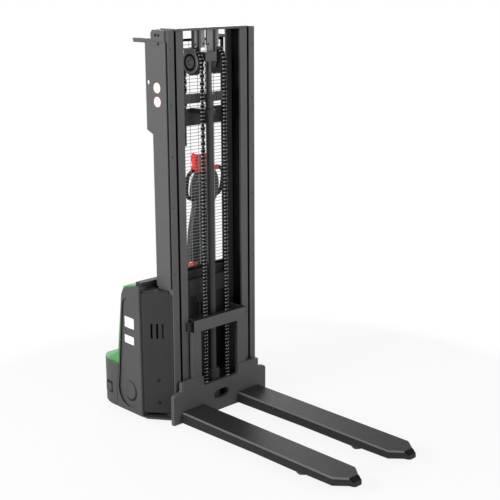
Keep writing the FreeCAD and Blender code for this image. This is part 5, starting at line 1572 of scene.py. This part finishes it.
@dataclass
class Studio:
    """Camera, lamps, world and floor."""

    eye: Place = (3.73387, -3.65696, 2.31907)
    yaw: float = 135.9256
    pitch: float = -14.5110
    roll: float = -0.2296
    focal_px: float = 1066.447
    picture_px: float = 500.0
    sensor: float = 36.0
    world_light: float = 0.24
    floor_lift: float = 0.88
    floor_radius: float = 60.0
    floor_fade: Spot = (0.9, 2.0)
    lamps: tuple[tuple[str, Place, float, float], ...] = (
        ("key", (-0.8, -6.0, 3.2), 2.6, 330.0),
        ("front", (5.8, 0.8, 2.4), 2.4, 130.0),
        ("back", (-4.5, 3.5, 3.4), 3.0, 120.0),
    )
    target: Place = (-0.1, 0.0, 0.9)

    def build(self) -> None:
        """Set up everything that isn't the object."""
        self._camera()
        self._world()
        self._floor()
        for name, place, size, power in self.lamps:
            self._lamp(name, place, size, power)
        bpy.context.scene.view_settings.view_transform = "Standard"

    def _camera(self) -> None:
        """Place the camera at the photograph's view."""
        data = bpy.data.cameras.new("view")
        data.sensor_width = self.sensor
        data.lens = self.focal_px * self.sensor / self.picture_px
        data.clip_end = 200.0
        camera = bpy.data.objects.new("view", data)
        bpy.context.scene.collection.objects.link(camera)
        yaw, pitch, roll = (math.radians(v) for v in (self.yaw, self.pitch, self.roll))
        ahead = Vector((math.cos(pitch) * math.cos(yaw), math.cos(pitch) * math.sin(yaw), math.sin(pitch)))
        level = Vector((math.sin(yaw), -math.cos(yaw), 0.0))
        above = level.cross(ahead)
        right = level * math.cos(roll) + above * math.sin(roll)
        up = above * math.cos(roll) - level * math.sin(roll)
        camera.matrix_world = Matrix.Translation(self.eye) @ Matrix((right, up, -ahead)).transposed().to_4x4()
        bpy.context.scene.camera = camera

    def _world(self) -> None:
        """Light the scene from all round, and show white behind it."""
        world = bpy.data.worlds.new("studio")
        world.use_nodes = True
        tree = world.node_tree
        tree.nodes.clear()
        path = add_node(tree, "ShaderNodeLightPath", {})
        shown = path.outputs["Is Camera Ray"]
        for kind in ("Is Transmission Ray", "Is Glossy Ray"):
            shown = add_node(tree, "ShaderNodeMath", {"operation": "ADD", "use_clamp": True},
                             {0: shown, 1: path.outputs[kind]}).outputs["Value"]
        light = add_node(tree, "ShaderNodeBackground", {"Color": (1, 1, 1, 1), "Strength": self.world_light})
        white = add_node(tree, "ShaderNodeBackground", {"Color": (1, 1, 1, 1), "Strength": 1.0})
        mixed = add_node(tree, "ShaderNodeMixShader", {},
                         {0: shown, 1: light.outputs["Background"], 2: white.outputs["Background"]})
        add_node(tree, "ShaderNodeOutputWorld", {}, {"Surface": mixed.outputs["Shader"]})
        bpy.context.scene.world = world

    def _floor(self) -> None:
        """Lay a pale floor that fades into the white behind it."""
        release()
        bpy.ops.mesh.primitive_circle_add(vertices=64, radius=self.floor_radius, fill_type="NGON")
        floor = named("floor")
        made = bpy.data.materials.new("pale_floor")
        made.use_nodes = True
        tree = made.node_tree
        tree.nodes.clear()
        place = add_node(tree, "ShaderNodeTexCoord", {})
        away = add_node(tree, "ShaderNodeVectorMath", {"operation": "LENGTH"}, {0: place.outputs["Object"]})
        near, far = self.floor_fade
        fade = add_node(tree, "ShaderNodeMapRange",
                        {"interpolation_type": "SMOOTHSTEP", "From Min": near, "From Max": far},
                        {"Value": away.outputs["Value"]})
        path = add_node(tree, "ShaderNodeLightPath", {})
        lift = add_node(tree, "ShaderNodeMath", {"operation": "MULTIPLY", 1: self.floor_lift},
                        {0: path.outputs["Is Camera Ray"]})
        share = add_node(tree, "ShaderNodeMath", {"operation": "MAXIMUM"},
                         {0: fade.outputs["Result"], 1: lift.outputs["Value"]})
        pale = add_node(tree, "ShaderNodeBsdfDiffuse", {"Color": linear("F4F4F3")})
        white = add_node(tree, "ShaderNodeEmission", {"Color": (1, 1, 1, 1), "Strength": 1.0})
        mixed = add_node(tree, "ShaderNodeMixShader", {},
                         {0: share.outputs["Value"], 1: pale.outputs["BSDF"], 2: white.outputs["Emission"]})
        add_node(tree, "ShaderNodeOutputMaterial", {}, {"Surface": mixed.outputs["Shader"]})
        floor.data.materials.append(made)
        floor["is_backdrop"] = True

    def _lamp(self, name: str, place: Place, size: float, power: float) -> None:
        """Hang one soft box and aim it at the machine."""
        data = bpy.data.lights.new(name, "AREA")
        data.shape = "SQUARE"
        data.size = size
        data.energy = power
        lamp = bpy.data.objects.new(name, data)
        bpy.context.scene.collection.objects.link(lamp)
        lamp.location = place
        lamp.rotation_euler = (Vector(self.target) - Vector(place)).to_track_quat("-Z", "Y").to_euler()


@dataclass
class Machine:
    """The whole machine: its own assemblies, then every node that none of them replaced."""

    studio: Studio = field(default_factory=Studio)
    assemblies: tuple[Any, ...] = (
        GuardScreen(), LiftChains(), SideCovers(), SidePanels(), FixedMast(), GuardBrackets(), MastHead(),
        InnerMast(), LiftCylinder(), Forks(), Carriage(), FrontWall(), LowerCover(), Hood(), StopButton(), Tiller(),
        Running())
    plain: dict[str, tuple[Finish, float]] = field(default_factory=lambda: {
        "frame_steel": (FRAME_PAINT, 1.6 * MM), "wheel_iron": (IRON, 0.8 * MM), "battery_case": (BATTERY, 3.0 * MM)})

    def build(self, frame: dict[str, Any]) -> None:
        """Build the studio, the assemblies and the refined nodes.
        """
        self.studio.build()
        for assembly in self.assemblies:
            assembly.build()
        slots = {part["node"]: part["material_slot"] for part in frame["record"]["subparts"]}
        bodies = {node: body for body, nodes in frame["record"]["behaviour"]["bodies"].items() for node in nodes}
        for node, shown in sorted(frame["nodes"].items()):
            if not shown.hide_render:
                finish, width = self.plain[slots[node]]
                RefinedNode(node, finish, Body(bodies[node]), width).build()


def corners() -> list[list[float]]:
    """Give the shown object's two corners as plain lists."""
    return [list(corner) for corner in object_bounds()]


def main() -> None:
    """Load the frame and build the machine."""
    logging.basicConfig(level=logging.INFO, format="%(name)s: %(message)s")
    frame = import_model()
    Machine().build(frame)


if __name__ == "__main__":
    main()
